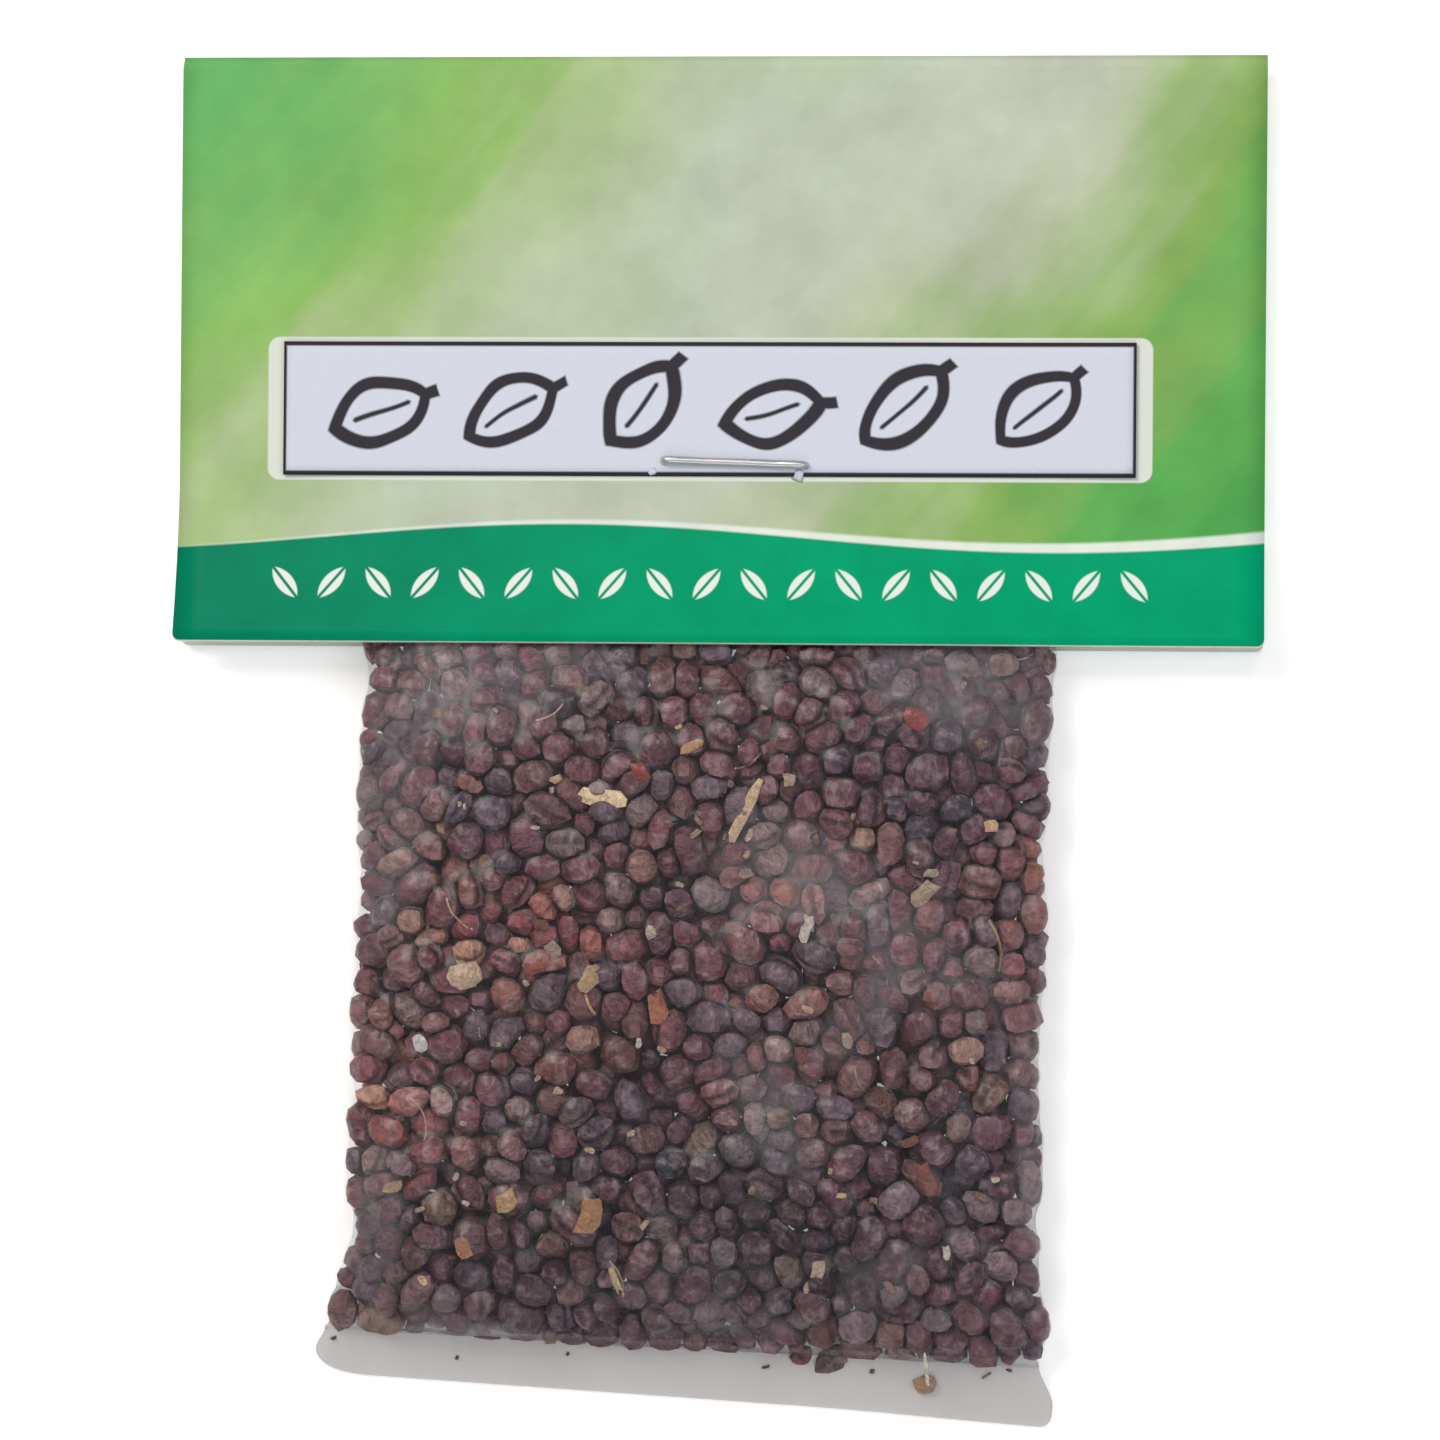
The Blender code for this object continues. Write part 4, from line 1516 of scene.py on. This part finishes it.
@dataclass
class HeaderCard:
    """The folded card over the bag's mouth: a back panel, a round fold and a front panel that
    rises over the seeds to its free edge."""

    form: BagForm
    width: float = 90 * MM
    sheet: float = 0.36 * MM
    fold_y: float = 56.8 * MM
    front_edge_y: float = 8.0 * MM
    back_edge_y: float = 7.7 * MM
    front_z: float = 2.35 * MM
    back_z: float = 0.9 * MM
    over_crest: float = 0.4 * MM
    fold_outer: float = 0.925 * MM
    corner: float = 0.6 * MM
    droop: float = 0.7 * MM
    label_centre: tuple = (-0.9 * MM, 27.45 * MM)
    window_size: tuple = (73.4, 11.9)
    window_corner: float = 1.0
    pitch: float = 1.2 * MM
    front_points: int = 240
    fold_points: int = 12
    back_points: int = 120
    free_from: float = 20 * MM
    free_over: float = 12 * MM

    def line(self) -> tuple[np.ndarray, np.ndarray]:
        """The sheet's side view, from the front edge over the fold to the back edge.

        Returns:
            Its points, as y and z, and the length run at each.
        """
        front = np.linspace(self.front_edge_y, self.fold_y - self.fold_outer, self.front_points)
        rise = np.where(front < self.form.bend_y, self.form.crest(front) + self.over_crest, self.front_z)
        radius = (self.front_z - self.back_z) / 2
        turn = np.linspace(0, math.pi, self.fold_points + 2)[1:-1]
        fold_y = self.fold_y - self.fold_outer + radius * np.sin(turn)
        fold_z = (self.front_z + self.back_z) / 2 + radius * np.cos(turn)
        back = np.linspace(self.fold_y - self.fold_outer, self.back_edge_y, self.back_points)
        y = np.concatenate([front, fold_y, back])
        z = np.concatenate([rise, fold_z, np.full_like(back, self.back_z)])
        steps = np.hypot(np.diff(y), np.diff(z))
        return np.stack([y, z], axis=1), np.concatenate([[0.0], np.cumsum(steps)])

    def run_at(self, y: float) -> float:
        """Length along the sheet from the front edge to y on the front panel, in millimetres."""
        line, run = self.line()
        return float(np.interp(y, line[: self.front_points, 0], run[: self.front_points])) / MM

    def bent(self, x: float, run: float, line: np.ndarray, runs: np.ndarray) -> Vector:
        """Folds one point of the flat sheet, which droops and waves a little where it is free.

        Args:
            x: its place across the sheet.
            run: its length along the sheet from the front edge.
            line: the sheet's side view.
            runs: the length run at each point of it.

        Returns:
            Where it lies.
        """
        y, z = (float(np.interp(run, runs, line[:, axis])) for axis in (0, 1))
        aside = abs(x) / (self.width / 2)
        if run < runs[self.front_points + self.fold_points]:
            free = float(ease((self.free_from - y) / self.free_over))
            z -= self.droop * aside**2.4 * free
            z += 0.12 * MM * math.sin(x / (7 * MM) + 0.6) * free * aside
        else:
            z += 0.05 * MM * math.sin(x / (11 * MM)) * float(ease((40 * MM - y) / (20 * MM)))
        return Vector((x, y, z))

    def build(self) -> bpy.types.Object:
        """Builds the card, printed outside and bare inside and along its cut edges.

        Returns:
            The piece.
        """
        line, runs = self.line()
        length = float(runs[-1])
        shape = bmesh.new()
        down, across = round(length / self.pitch), round(self.width / (2 * self.pitch))
        bmesh.ops.create_grid(shape, x_segments=across, y_segments=down, size=0.5)
        bmesh.ops.transform(shape, matrix=Matrix.Diagonal((self.width, length, 1, 1)), verts=shape.verts)
        bmesh.ops.translate(shape, verts=shape.verts, vec=(0, length / 2, 0))
        corners = [vert for vert in shape.verts if len(vert.link_faces) == 1]
        cut = {"affect": "VERTICES", "segments": 4, "profile": 0.5, "material": -1}
        bmesh.ops.bevel(shape, geom=corners, offset=self.corner, **cut)
        mapped(shape, 0)
        for vert in shape.verts:
            vert.co = self.bent(vert.co.x, vert.co.y, line, runs)
        bmesh.ops.recalc_face_normals(shape, faces=shape.faces)
        facing_up(shape, max(shape.faces, key=lambda face: face.calc_center_median().z))
        centre = (self.label_centre[0] / MM, self.run_at(self.label_centre[1]))
        window = (centre, self.window_size, self.window_corner)
        board = BareBoard().material()
        print_coat = CoatedPrint().material(length / MM, window)
        card = piece_of("folded_card", shape, [print_coat, board], ["header_card"])
        wall = card.modifiers.new("sheet", "SOLIDIFY")
        wall.thickness = self.sheet
        wall.offset = 0
        wall.material_offset = wall.material_offset_rim = 1
        log.info("folded_card: sheet %.1f mm long", length / MM)
        return card


@dataclass(frozen=True)
class InkedPaper:
    """Plain copier paper with toner on it: matt, cool white, with fibres about 0.4 mm apart. The
    toner lies on it a shade glossier, in a thin frame and a row of brushed pods."""

    name: str = "inked_paper"
    paper: str = "d8dce8"
    ink: str = "343238"
    pod_pitch: float = 10.9
    pod_count: int = 6
    pod_length: float = 4.0
    pod_width: float = 2.3
    stroke: float = 0.5

    def material(self, size: tuple) -> bpy.types.Material:
        """Builds the paper.

        Args:
            size: the label's width and height in millimetres.

        Returns:
            The material, which reads the label's own UV map, a tenth of a metre to the unit.
        """
        draw = CoatedPrint()
        material, add = blank_material(self.name)
        sheet = add("UVMap", uv_map="sheet")
        place = add("Mapping", sheet, Location=(-50.0, -50.0, 0), Scale=(100.0, 100.0, 1.0))
        fibre = add("TexNoise", place, Scale=2.5, Detail=4.0, Roughness=0.6)
        # A brush's wander, a quarter of a millimetre to and fro every couple of millimetres
        wander = add("TexNoise", place, Scale=0.22, Detail=0.0).outputs["Color"]
        off = add("VectorMath SUBTRACT", wander, (0.5, 0.5, 0.5))
        parts = add("SeparateXYZ", add("VectorMath MULTIPLY_ADD", off, (1.1, 1.1, 0.0), place))
        # Each pod in its own cell of the row, leaning and standing its own way
        span = self.pod_count * self.pod_pitch
        along = add("Math DIVIDE", add("Math ADD", parts, span / 2), self.pod_pitch)
        across = add("Math MULTIPLY", add("Math SUBTRACT", add("Math FRACT", along), 0.5), self.pod_pitch)
        lean = add("Math SINE", add("Math MULTIPLY_ADD", add("Math FLOOR", along), 2.3, 0.7))
        angle = add("Math MULTIPLY_ADD", lean, math.radians(20), math.radians(-33))
        spot = add("CombineXYZ", across, add("Math MULTIPLY_ADD", lean, 0.35, parts.outputs[1]))
        turned = add("VectorRotate", spot, Angle=angle, rotation_type="Z_AXIS")
        # Its outline, a rib along its middle and a stem at its point
        outline = draw.pointed(add, turned, self.pod_length, self.pod_width)
        ring = add("Math SUBTRACT", add("Math ABSOLUTE", outline), self.stroke)
        ends = add("SeparateXYZ", turned)
        side = add("Math ABSOLUTE", ends.outputs[1])
        rib = add("Math MAXIMUM", add("Math SUBTRACT", side, 0.2), add("Math ADD", outline, 1.2))
        stem = add("Math ABSOLUTE", add("Math SUBTRACT", ends, 4.65))
        stem = add("Math MAXIMUM", add("Math SUBTRACT", stem, 0.65), add("Math SUBTRACT", side, 0.5))
        shapes = add("Math MINIMUM", add("Math MINIMUM", ring, rib), stem)
        inside = add("Math SUBTRACT", add("Math ABSOLUTE", parts), span / 2)
        drawn = add("Math MULTIPLY", draw.edge(add, shapes, 0.09), draw.edge(add, inside))
        # The thin frame along the label's edges
        edges = add("SeparateXYZ", place)
        past_x = add("Math SUBTRACT", add("Math ABSOLUTE", edges), size[0] / 2 - 0.25)
        past_y = add("Math SUBTRACT", add("Math ABSOLUTE", edges.outputs[1]), size[1] / 2 - 0.36)
        ruled = add("Math SUBTRACT", 1.0, draw.edge(add, add("Math MAXIMUM", past_x, past_y), 0.07))
        inked = add("Math MAXIMUM", drawn, ruled)
        shade = add("MapRange", fibre, To_Min=0.93, To_Max=1.04)
        paper = add("Mix", 1.0, self.paper, shade, **SHADED)
        colour = add("Mix", inked, paper, self.ink, **INK)
        rough = add("MapRange", inked, To_Min=0.86, To_Max=0.5)
        bump = add("Bump", Height=fibre, Strength=0.35, Distance=0.06 * MM)
        look = {"Roughness": rough, "Specular_IOR_Level": 0.15, "Normal": bump}
        return surface_of(material, add("BsdfPrincipled", colour, **look))


@dataclass
class PaperLabel:
    """The paper strip stapled to the card: cut by hand, and lifting a little at its ends."""

    card: HeaderCard
    size: tuple = (70.7 * MM, 11.1 * MM)
    pitch: float = 1.01 * MM
    sheet: float = 0.12 * MM
    lift: float = 0.22 * MM
    gap: float = 0.05 * MM
    tears: tuple = ((-5.45 * MM, 22.25 * MM, 0.42 * MM), (6.75 * MM, 22.1 * MM, 0.62 * MM))
    burr_height: float = 0.24 * MM
    bare_spot: tuple = (0.83, 0.47)
    seed: int = 5

    def height(self, x: float, y: float) -> float:
        """The paper's height over the card, low by the staple and lifting at the ends.

        Args:
            x: the place across the card.
            y: the place up the card.

        Returns:
            The height.
        """
        centre = self.card.label_centre
        aside = abs(x - centre[0]) / (self.size[0] / 2)
        up = (y - centre[1]) / self.size[1] + 0.5
        ripple = 0.03 * MM * math.sin(x / (5 * MM)) * up
        return self.gap + self.lift * aside**6 + 0.1 * MM * up**2 * (1 - aside) + ripple + 0.03 * MM

    def build(self) -> bpy.types.Object:
        """Builds the label with the burrs that the staple's legs tore.

        Returns:
            The piece.
        """
        centre = self.card.label_centre
        base = self.card.front_z + self.card.sheet / 2 + self.sheet / 2
        shape = bmesh.new()
        across, up = (round(side / self.pitch) for side in self.size)
        bmesh.ops.create_grid(shape, x_segments=across, y_segments=up, size=0.5)
        bmesh.ops.transform(shape, matrix=Matrix.Diagonal((*self.size, 1, 1)), verts=shape.verts)
        layer = mapped(shape, 0.5)
        for vert in shape.verts:
            x, y = vert.co.x + centre[0], vert.co.y + centre[1]
            vert.co = Vector((x, y, base + self.height(x, y)))
        facing_up(shape, next(iter(shape.faces)))
        bmesh.ops.solidify(shape, geom=shape.faces[:], thickness=self.sheet)
        rng = random.Random(self.seed)
        for hole_x, hole_y, burr in self.tears:
            seat = Matrix.Translation((hole_x, hole_y, base + self.height(hole_x, hole_y)))
            sizes = {"radius1": burr, "radius2": 0.5 * burr, "depth": self.burr_height}
            made = bmesh.ops.create_cone(shape, cap_ends=True, segments=9, matrix=seat, **sizes)
            for loop in once(loop for vert in made["verts"] for loop in vert.link_loops):
                loop[layer].uv = self.bare_spot
            for vert in made["verts"]:
                away = Vector((vert.co.x - hole_x, vert.co.y - hole_y, 0))
                vert.co += away * rng.uniform(-0.35, 0.35)
                vert.co.z += rng.uniform(-0.06, 0.1) * MM
        bmesh.ops.recalc_face_normals(shape, faces=shape.faces)
        paper = InkedPaper().material((self.size[0] / MM, self.size[1] / MM))
        label = piece_of("paper_strip", shape, [paper], ["paper_label"])
        log.info("paper_strip: %.1f by %.1f mm", self.size[0] / MM, self.size[1] / MM)
        return label


@dataclass(frozen=True)
class ZincWire:
    """Zinc-plated steel wire: bright, lightly drawn along its length, with small dull patches
    half a millimetre long. A metal, so its IOR is left alone."""

    name: str = "zinc_plated_wire"
    colour: str = "cfcdd2"

    def material(self) -> bpy.types.Material:
        """Builds the wire's plating.

        Returns:
            The material.
        """
        material, add = blank_material(self.name)
        place = add("TexCoord").outputs["Object"]
        drawn = add("Mapping", place, Scale=(0.25, 1.0, 1.0))
        grain = add("TexNoise", drawn, Scale=1 / (0.12 * MM), Detail=3.0)
        dull = add("TexNoise", place, Scale=1 / (0.5 * MM), Detail=2.0)
        bump = add("Bump", Height=grain, Strength=0.12, Distance=0.01 * MM)
        look = {"Metallic": 1.0, "Roughness": add("MapRange", dull, 0.35, 0.7, 0.32, 0.5), "Normal": bump}
        return surface_of(material, add("BsdfPrincipled", self.colour, **look))


@dataclass
class WireStaple:
    """The staple: a crown that stands a little off the paper, two legs through everything, and
    their ends clinched against the card's back."""

    radius: float = 0.33 * MM
    sides: int = 16
    left_x: float = -4.6
    right_x: float = 7.2
    leg_y: float = 22.7
    crown_y: float = 23.15
    crown_z: float = 3.22
    clinch_z: float = 0.37
    clinch: float = 4.3
    bend: float = 0.55
    bend_points: int = 7
    crown_steps: int = 16
    sag: float = 0.12
    dents: tuple = ((0.3, 0.09), (0.77, 0.08))

    def route(self) -> list[Vector]:
        """The wire's middle line in millimetres, from one clinched end to the other.

        Returns:
            Its points.
        """
        corner = self.bend
        stops: list[Vector] = []

        def rounded(before: Vector, at: Vector, after: Vector) -> None:
            """Adds the bend at a corner, between the points before and after it."""
            first, last = (before - at).normalized() * corner, (after - at).normalized() * corner
            for share in np.linspace(0, 1, self.bend_points):
                stops.append(at + first * (1 - share) ** 2 + last * share**2)

        tips = [
            Vector((self.left_x + self.clinch, self.leg_y - 0.15, self.clinch_z - 0.02)),
            Vector((self.left_x, self.leg_y, self.clinch_z)),
            Vector((self.left_x + 0.15, self.crown_y + 0.1, self.crown_z)),
            Vector((self.right_x + 0.1, self.crown_y - 0.3, self.crown_z - 0.05)),
            Vector((self.right_x, self.leg_y, self.clinch_z)),
            Vector((self.right_x - self.clinch + 0.3, self.leg_y + 0.2, self.clinch_z)),
        ]
        stops.append(tips[0])
        for index in range(1, 5):
            rounded(tips[index - 1], tips[index], tips[index + 1])
            if index == 2:
                stops.extend(self.crown_run(tips[2], tips[3]))
        stops.append(tips[5])
        return stops

    def crown_run(self, start: Vector, end: Vector) -> list[Vector]:
        """The crown between its bends, bowed a little towards the paper and dented twice.

        Args:
            start: the corner that it starts from.
            end: the corner that it runs to.

        Returns:
            Its points.
        """
        run = []
        for step in range(1, self.crown_steps):
            share = 0.05 + 0.9 * step / self.crown_steps
            dents = sum(depth * math.exp(-(((share - place) / 0.03) ** 2)) for place, depth in self.dents)
            bow = self.sag * 4 * share * (1 - share) + dents
            run.append(start.lerp(end, share) - Vector((0, 0.4 * dents, bow)))
        return run

    def build(self) -> bpy.types.Object:
        """Builds the wire, by drawing a ring along the route.

        Returns:
            The piece.
        """
        route = [point * MM for point in self.route()]
        shape = bmesh.new()
        drawn_along(shape, route, self.radius, self.sides)
        bmesh.ops.recalc_face_normals(shape, faces=shape.faces)
        staple = piece_of("bent_staple", shape, [ZincWire().material()], ["wire_staple"])
        log.info("bent_staple: %d points along the wire", len(route))
        return staple


@dataclass(frozen=True)
class StudioPaper:
    """Matt white background paper, with a tooth of a few millimetres that hardly shows."""

    name: str = "background_paper"
    colour: str = "f4f4f3"
    glow: float = 0.34

    def material(self) -> bpy.types.Material:
        """Builds the paper, which glows a little to stay pale under soft light.

        Returns:
            The material.
        """
        material, add = blank_material(self.name)
        tooth = add("TexNoise", add("TexCoord").outputs["Object"], Scale=1 / (4 * MM), Detail=3.0)
        shade = add("MapRange", tooth, To_Min=0.99, To_Max=1.01)
        look = {"Roughness": 0.9, "Specular_IOR_Level": 0.1}
        glow = {"Emission_Color": "ffffff", "Emission_Strength": self.glow}
        colour = add("Mix", 1.0, self.colour, shade, **SHADED)
        return surface_of(material, add("BsdfPrincipled", colour, **look, **glow))


@dataclass
class Studio:
    """Pale floor, soft light and a camera that looks down on the packet."""

    target: tuple = (0.383 * MM, 1.77 * MM, 3.0 * MM)
    turn: tuple = (math.radians(0.437), math.radians(4.764), math.radians(0.469))
    distance: float = 0.45
    lens: float = 136.29
    floor: float = 1.6
    floor_gap: float = 0.02 * MM
    lamps: tuple = (
        ("key_lamp", (-0.42, 0.5, 0.76), 0.45, 5.2, "fffaf4"),
        ("fill_lamp", (0.6, -0.05, 0.7), 0.5, 1.8, "f4f6ff"),
        ("foot_lamp", (-0.05, -0.65, 0.66), 0.5, 1.2, "ffffff"),
        ("glint_lamp", (0.12, 0.3, 0.7), 0.05, 0.45, "ffffff"),
    )
    horizon: float = 0.3
    zenith: float = 0.33
    sky_rise: tuple = (0.45, 0.93)

    def place_camera(self) -> None:
        """Puts the camera where the photograph was taken from, as fitted to card and label."""
        data = bpy.data.cameras.new("camera")
        data.lens = self.lens
        data.sensor_width = 36
        data.clip_start, data.clip_end = 0.01, 10
        camera = bpy.data.objects.new("camera", data)
        turned = Matrix.Identity(4)
        for angle, axis in zip(self.turn, "XYZ"):
            turned = Matrix.Rotation(angle, 4, axis) @ turned
        stood_up(camera, self.target, turned @ Matrix.Translation((0, 0, self.distance)))
        bpy.context.scene.camera = camera

    def light(self) -> None:
        """Hangs the soft lamps and lets in even daylight."""
        for name, place, size, power, colour in self.lamps:
            data = bpy.data.lights.new(name, "AREA")
            data.shape = "SQUARE"
            data.size = size
            data.energy = power
            data.color = linear(colour)[:3]
            aim = (Vector(self.target) - Vector(place)).to_track_quat("-Z", "Y").to_matrix().to_4x4()
            stood_up(bpy.data.objects.new(name, data), place, aim)
        world = bpy.data.worlds.new("daylight")
        world.use_nodes = True
        tree = world.node_tree
        background = tree.nodes["Background"]
        background.inputs["Color"].default_value = linear("ffffff")
        height = add_node(tree, "SeparateXYZ", add_node(tree, "TexCoord").outputs["Generated"])
        low, high = self.sky_rise
        glow = add_node(tree, "MapRange", height.outputs[2], low, high, self.horizon, self.zenith)
        tree.links.new(glow.outputs[0], background.inputs["Strength"])
        bpy.context.scene.world = world
        bpy.context.scene.view_settings.view_transform = "Standard"

    def lay_floor(self) -> None:
        """Lays the pale floor just under the packet."""
        shape = bmesh.new()
        bmesh.ops.create_grid(shape, x_segments=4, y_segments=4, size=self.floor / 2)
        bmesh.ops.translate(shape, verts=shape.verts, vec=(0, 0, -self.floor_gap))
        mesh = bpy.data.meshes.new("floor")
        shape.to_mesh(mesh)
        shape.free()
        mesh.materials.append(StudioPaper().material())
        floor = bpy.data.objects.new("floor", mesh)
        bpy.context.scene.collection.objects.link(floor)


TONE_SPOTS = (
    (
        CoatTone.RUSSET,
        (
            (-13.5, -13.5), (2.7, -20.7), (26.6, -9.0), (25.6, -11.5), (16.9, -42.6), (18.6, -36.4),
            (-27.1, -22.3), (-16.4, -20.3),
        ),
    ),
    (
        CoatTone.TAN,
        (
            (-16.4, -16.6), (-19.7, -16.5), (12.3, -8.9), (21.8, -25.6), (-0.4, -32.2),
            (6.4, -43.7), (-21.4, -7.3), (-28.4, -30.0), (-8.7, -24.9),
        ),
    ),
    (
        CoatTone.STONE,
        (
            (-7.7, -13.9), (-16.2, -36.1), (21.3, -41.1), (15.9, -39.3), (15.4, -44.9),
            (24.8, -38.5),
        ),
    ),
    (CoatTone.BRICK, ((8.9, -49.0), (-14.2, -27.5), (-25.8, -31.3))),
    (CoatTone.SLATE, ((8.4, -30.0), (7.4, -28.2), (-17.3, -7.0), (-25.6, 0.3))),
)

HUSK_SPOTS = (
    Crumb(-8.9, -4.7, 4.3, 1.6, -4, "ffe2b8", 0.45, 0.3),
    Crumb(2.9, -5.6, 5.2, 1.0, 66, "d9b996"),
    Crumb(-20.1, -19.4, 2.9, 2.3, 12, "d6b89c", 0.7, 0.4),
    Crumb(-9.6, -38.9, 3.6, 2.1, 78, "b08058"),
    Crumb(-16.4, -37.8, 2.2, 1.9, 25, "b48f68"),
    Crumb(-26.0, -36.9, 1.8, 0.9, 10, "bb9a70"),
    Crumb(-9.8, -19.6, 2.4, 1.6, 60, "bb9874"),
    Crumb(16.7, 2.0, 2.2, 1.6, -50, "a4363a"),
    Crumb(-5.8, -2.6, 1.9, 1.3, -65, "973a36"),
    Crumb(17.9, -35.4, 2.9, 1.5, -65, "875044"),
    Crumb(-14.4, -18.7, 1.6, 1.2, 20, "98524a"),
    Crumb(8.0, -15.2, 2.6, 1.0, 75, "ddd0c0"),
    Crumb(17.5, -12.2, 2.6, 1.6, 40, "b59d84"),
    Crumb(-7.6, -44.0, 2.9, 0.6, -70, "c9b48e"),
    Crumb(-23.8, -24.9, 1.8, 1.2, -50, "cbc5c1"),
    Crumb(-1.6, -0.4, 2.0, 1.0, 20, "c9a070"),
    Crumb(-4.2, -21.8, 2.9, 1.5, 100, "a9694f"),
    Crumb(-20.0, -41.8, 2.0, 1.6, -70, "a8765a"),
)

FLANGE_BITS = (
    Crumb(17.6, -52.9, 1.9, 1.7, 30, "ad8c70", 0.5),
    Crumb(17.9, -51.3, 2.6, 0.3, 97, "d9d0bf", 0.1),
    Crumb(-31.6, -49.9, 0.55, 0.35, 20, "6a5850"),
    Crumb(-21.3, -51.4, 0.4, 0.3, 70, "5c4a44"),
    Crumb(4.5, -51.7, 0.8, 0.22, 12, "5c4a44"),
    Crumb(13.3, -51.9, 0.45, 0.35, 0, "7a4f45"),
    Crumb(22.7, -52.1, 0.9, 0.2, 35, "8a7b70"),
    Crumb(24.6, -51.6, 0.5, 0.2, -20, "6e5d54"),
    Crumb(-12.0, -50.9, 0.35, 0.25, 50, "5c4a44"),
)

LOOSE_FIBRES = (
    Fibre((-21.6, -13.0), (-19.4, -15.6), 0.5),
    Fibre((22.8, -14.4), (23.6, -18.6), -0.5, 0.13, "c3a183"),
    Fibre((-18.8, -23.6), (-17.6, -26.6), 0.4, 0.08, "b98f86"),
    Fibre((-10.2, -19.0), (-9.4, -22.4), 0.3, 0.12, "d6b48a"),
    Fibre((-24.6, -29.4), (-23.4, -33.0), -0.6, 0.08, "c9a892"),
    Fibre((-7.9, -42.6), (-6.9, -45.6), -0.3, 0.1, "cbb391"),
    Fibre((14.6, -19.8), (13.4, -17.4), 0.3, 0.08, "b8978c"),
    Fibre((2.0, -2.2), (4.0, -1.0), 0.3, 0.08, "c7ad97"),
    Fibre((-2.0, -34.6), (0.6, -36.0), 0.4, 0.07, "a98f86"),
    Fibre((12.0, -26.5), (13.0, -28.8), 0.2, 0.07, "b09488"),
    Fibre((18.4, -31.2), (20.6, -30.0), -0.3, 0.07, "bb9d8e"),
    Fibre((-14.4, 1.6), (-12.2, 3.0), 0.3, 0.08, "c9b4a4"),
)

# Broad patches that turn the seeds' own colours darker, lighter or cooler over large areas. The grey ones
# that lie under the film's milky patches are painted haze: the film's milky veil painted on the seeds.
SHADED_PATCHES = (
    Patch(4.5, -38.5, 13.5, 5.0, -28, 0.95, "596a6f"),
    Patch(19.0, -33.0, 8.5, 5.5, 60, 0.9, "6a6b71"),
    Patch(-6.4, -28.5, 7.0, 5.0, 90, 0.9, "655f66"),
    Patch(-17.5, -44.0, 8.0, 4.5, 0, 0.8, "68696f"),
    Patch(-15.5, -15.5, 8.0, 4.5, 5, 0.9, "948780"),
    Patch(-25.0, -32.0, 7.0, 4.5, -60, 0.9, "9e938d"),
    Patch(18.8, -5.0, 7.0, 4.5, 90, 0.8, "6a6d77"),
    Patch(-17.0, -8.5, 6.0, 4.0, 20, 0.8, "6e6f75"),
    Patch(-4.1, -13.0, 5.0, 3.0, 0, 0.9, "69767b"),
    Patch(0.0, 4.0, 9.0, 5.5, 0, 0.7, "70686c"),
    Patch(-6.0, -46.5, 9.0, 2.6, 0, 0.7, "6d767c"),
    Patch(7.0, -12.0, 6.0, 3.5, 0, 0.7, "a19e9d"),
    Patch(26.0, -14.0, 3.0, 9.0, 0, 0.6, "92877f"),
    Patch(2.0, -43.0, 34.0, 11.0, 0, 0.9, "666467"),
    Patch(19.0, 2.0, 12.0, 9.0, 0, 0.8, "6a656e"),
    Patch(17.0, -42.0, 12.0, 9.0, 0, 0.7, "807c84"),
    Patch(0.0, -19.0, 31.0, 15.0, 0, 0.8, "817b7b"),
    Patch(-19.5, 5.5, 11.0, 5.5, 12, 0.9, "8f9092"),
    Patch(-26.5, -7.0, 10.0, 3.2, 88, 0.8, "8b8b8c"),
    Patch(13.5, -15.0, 12.0, 3.6, -33, 0.8, "8a8b8c"),
    Patch(5.0, -30.0, 6.0, 3.0, -58, 0.8, "868b8b"),
)

MILKY_PATCHES = (
    Patch(-19.5, 5.5, 11.0, 5.5, 12, 0.19),
    Patch(-26.5, -7.0, 10.0, 3.2, 88, 0.15),
    Patch(21.5, 4.5, 9.5, 5.0, -12, 0.19),
    Patch(13.5, -15.0, 12.0, 3.6, -33, 0.13),
    Patch(12.4, -22.5, 4.6, 2.0, 50, 0.19),
    Patch(5.0, -30.0, 6.0, 3.0, -58, 0.12),
    Patch(6.0, -10.5, 5.5, 4.5, 0, 0.12),
    Patch(27.2, -34.0, 14.0, 2.2, 90, 0.16),
    Patch(-27.6, -40.0, 7.5, 2.4, 86, 0.16),
    Patch(14.5, -43.5, 3.6, 2.2, 30, 0.14),
    Patch(-19.5, -48.9, 6.0, 0.9, -3, 0.3),
    Patch(3.0, -47.6, 5.0, 1.4, -4, 0.14),
)


def main() -> None:
    """Builds every sub-assembly of the packet and its stage."""
    logging.basicConfig(level=logging.INFO, format="%(name)s: %(message)s")
    form = BagForm()
    studio = Studio()
    studio.place_camera()
    studio.light()
    studio.lay_floor()
    heap = SeedHeap(form, tone_spots=TONE_SPOTS, shaded_patches=SHADED_PATCHES)
    heap.build()
    _, crumb_solid = HuskCrumbs(placed=HUSK_SPOTS, fibres=LOOSE_FIBRES).build(heap.solid.tree())
    triangles = np.concatenate([heap.solid.faces[:, :3], heap.solid.faces[:, [0, 2, 3]]])
    under_film = Solid(heap.solid.points, triangles).joined(crumb_solid)
    film = FilmBag(form, milky_patches=MILKY_PATCHES).build(under_film.tree())
    HuskCrumbs(name="flange_bits", stands_for=(), placed=FLANGE_BITS, strewn=0).build(film)
    card = HeaderCard(form)
    card.build()
    PaperLabel(card).build()
    WireStaple().build()


if __name__ == "__main__":
    main()
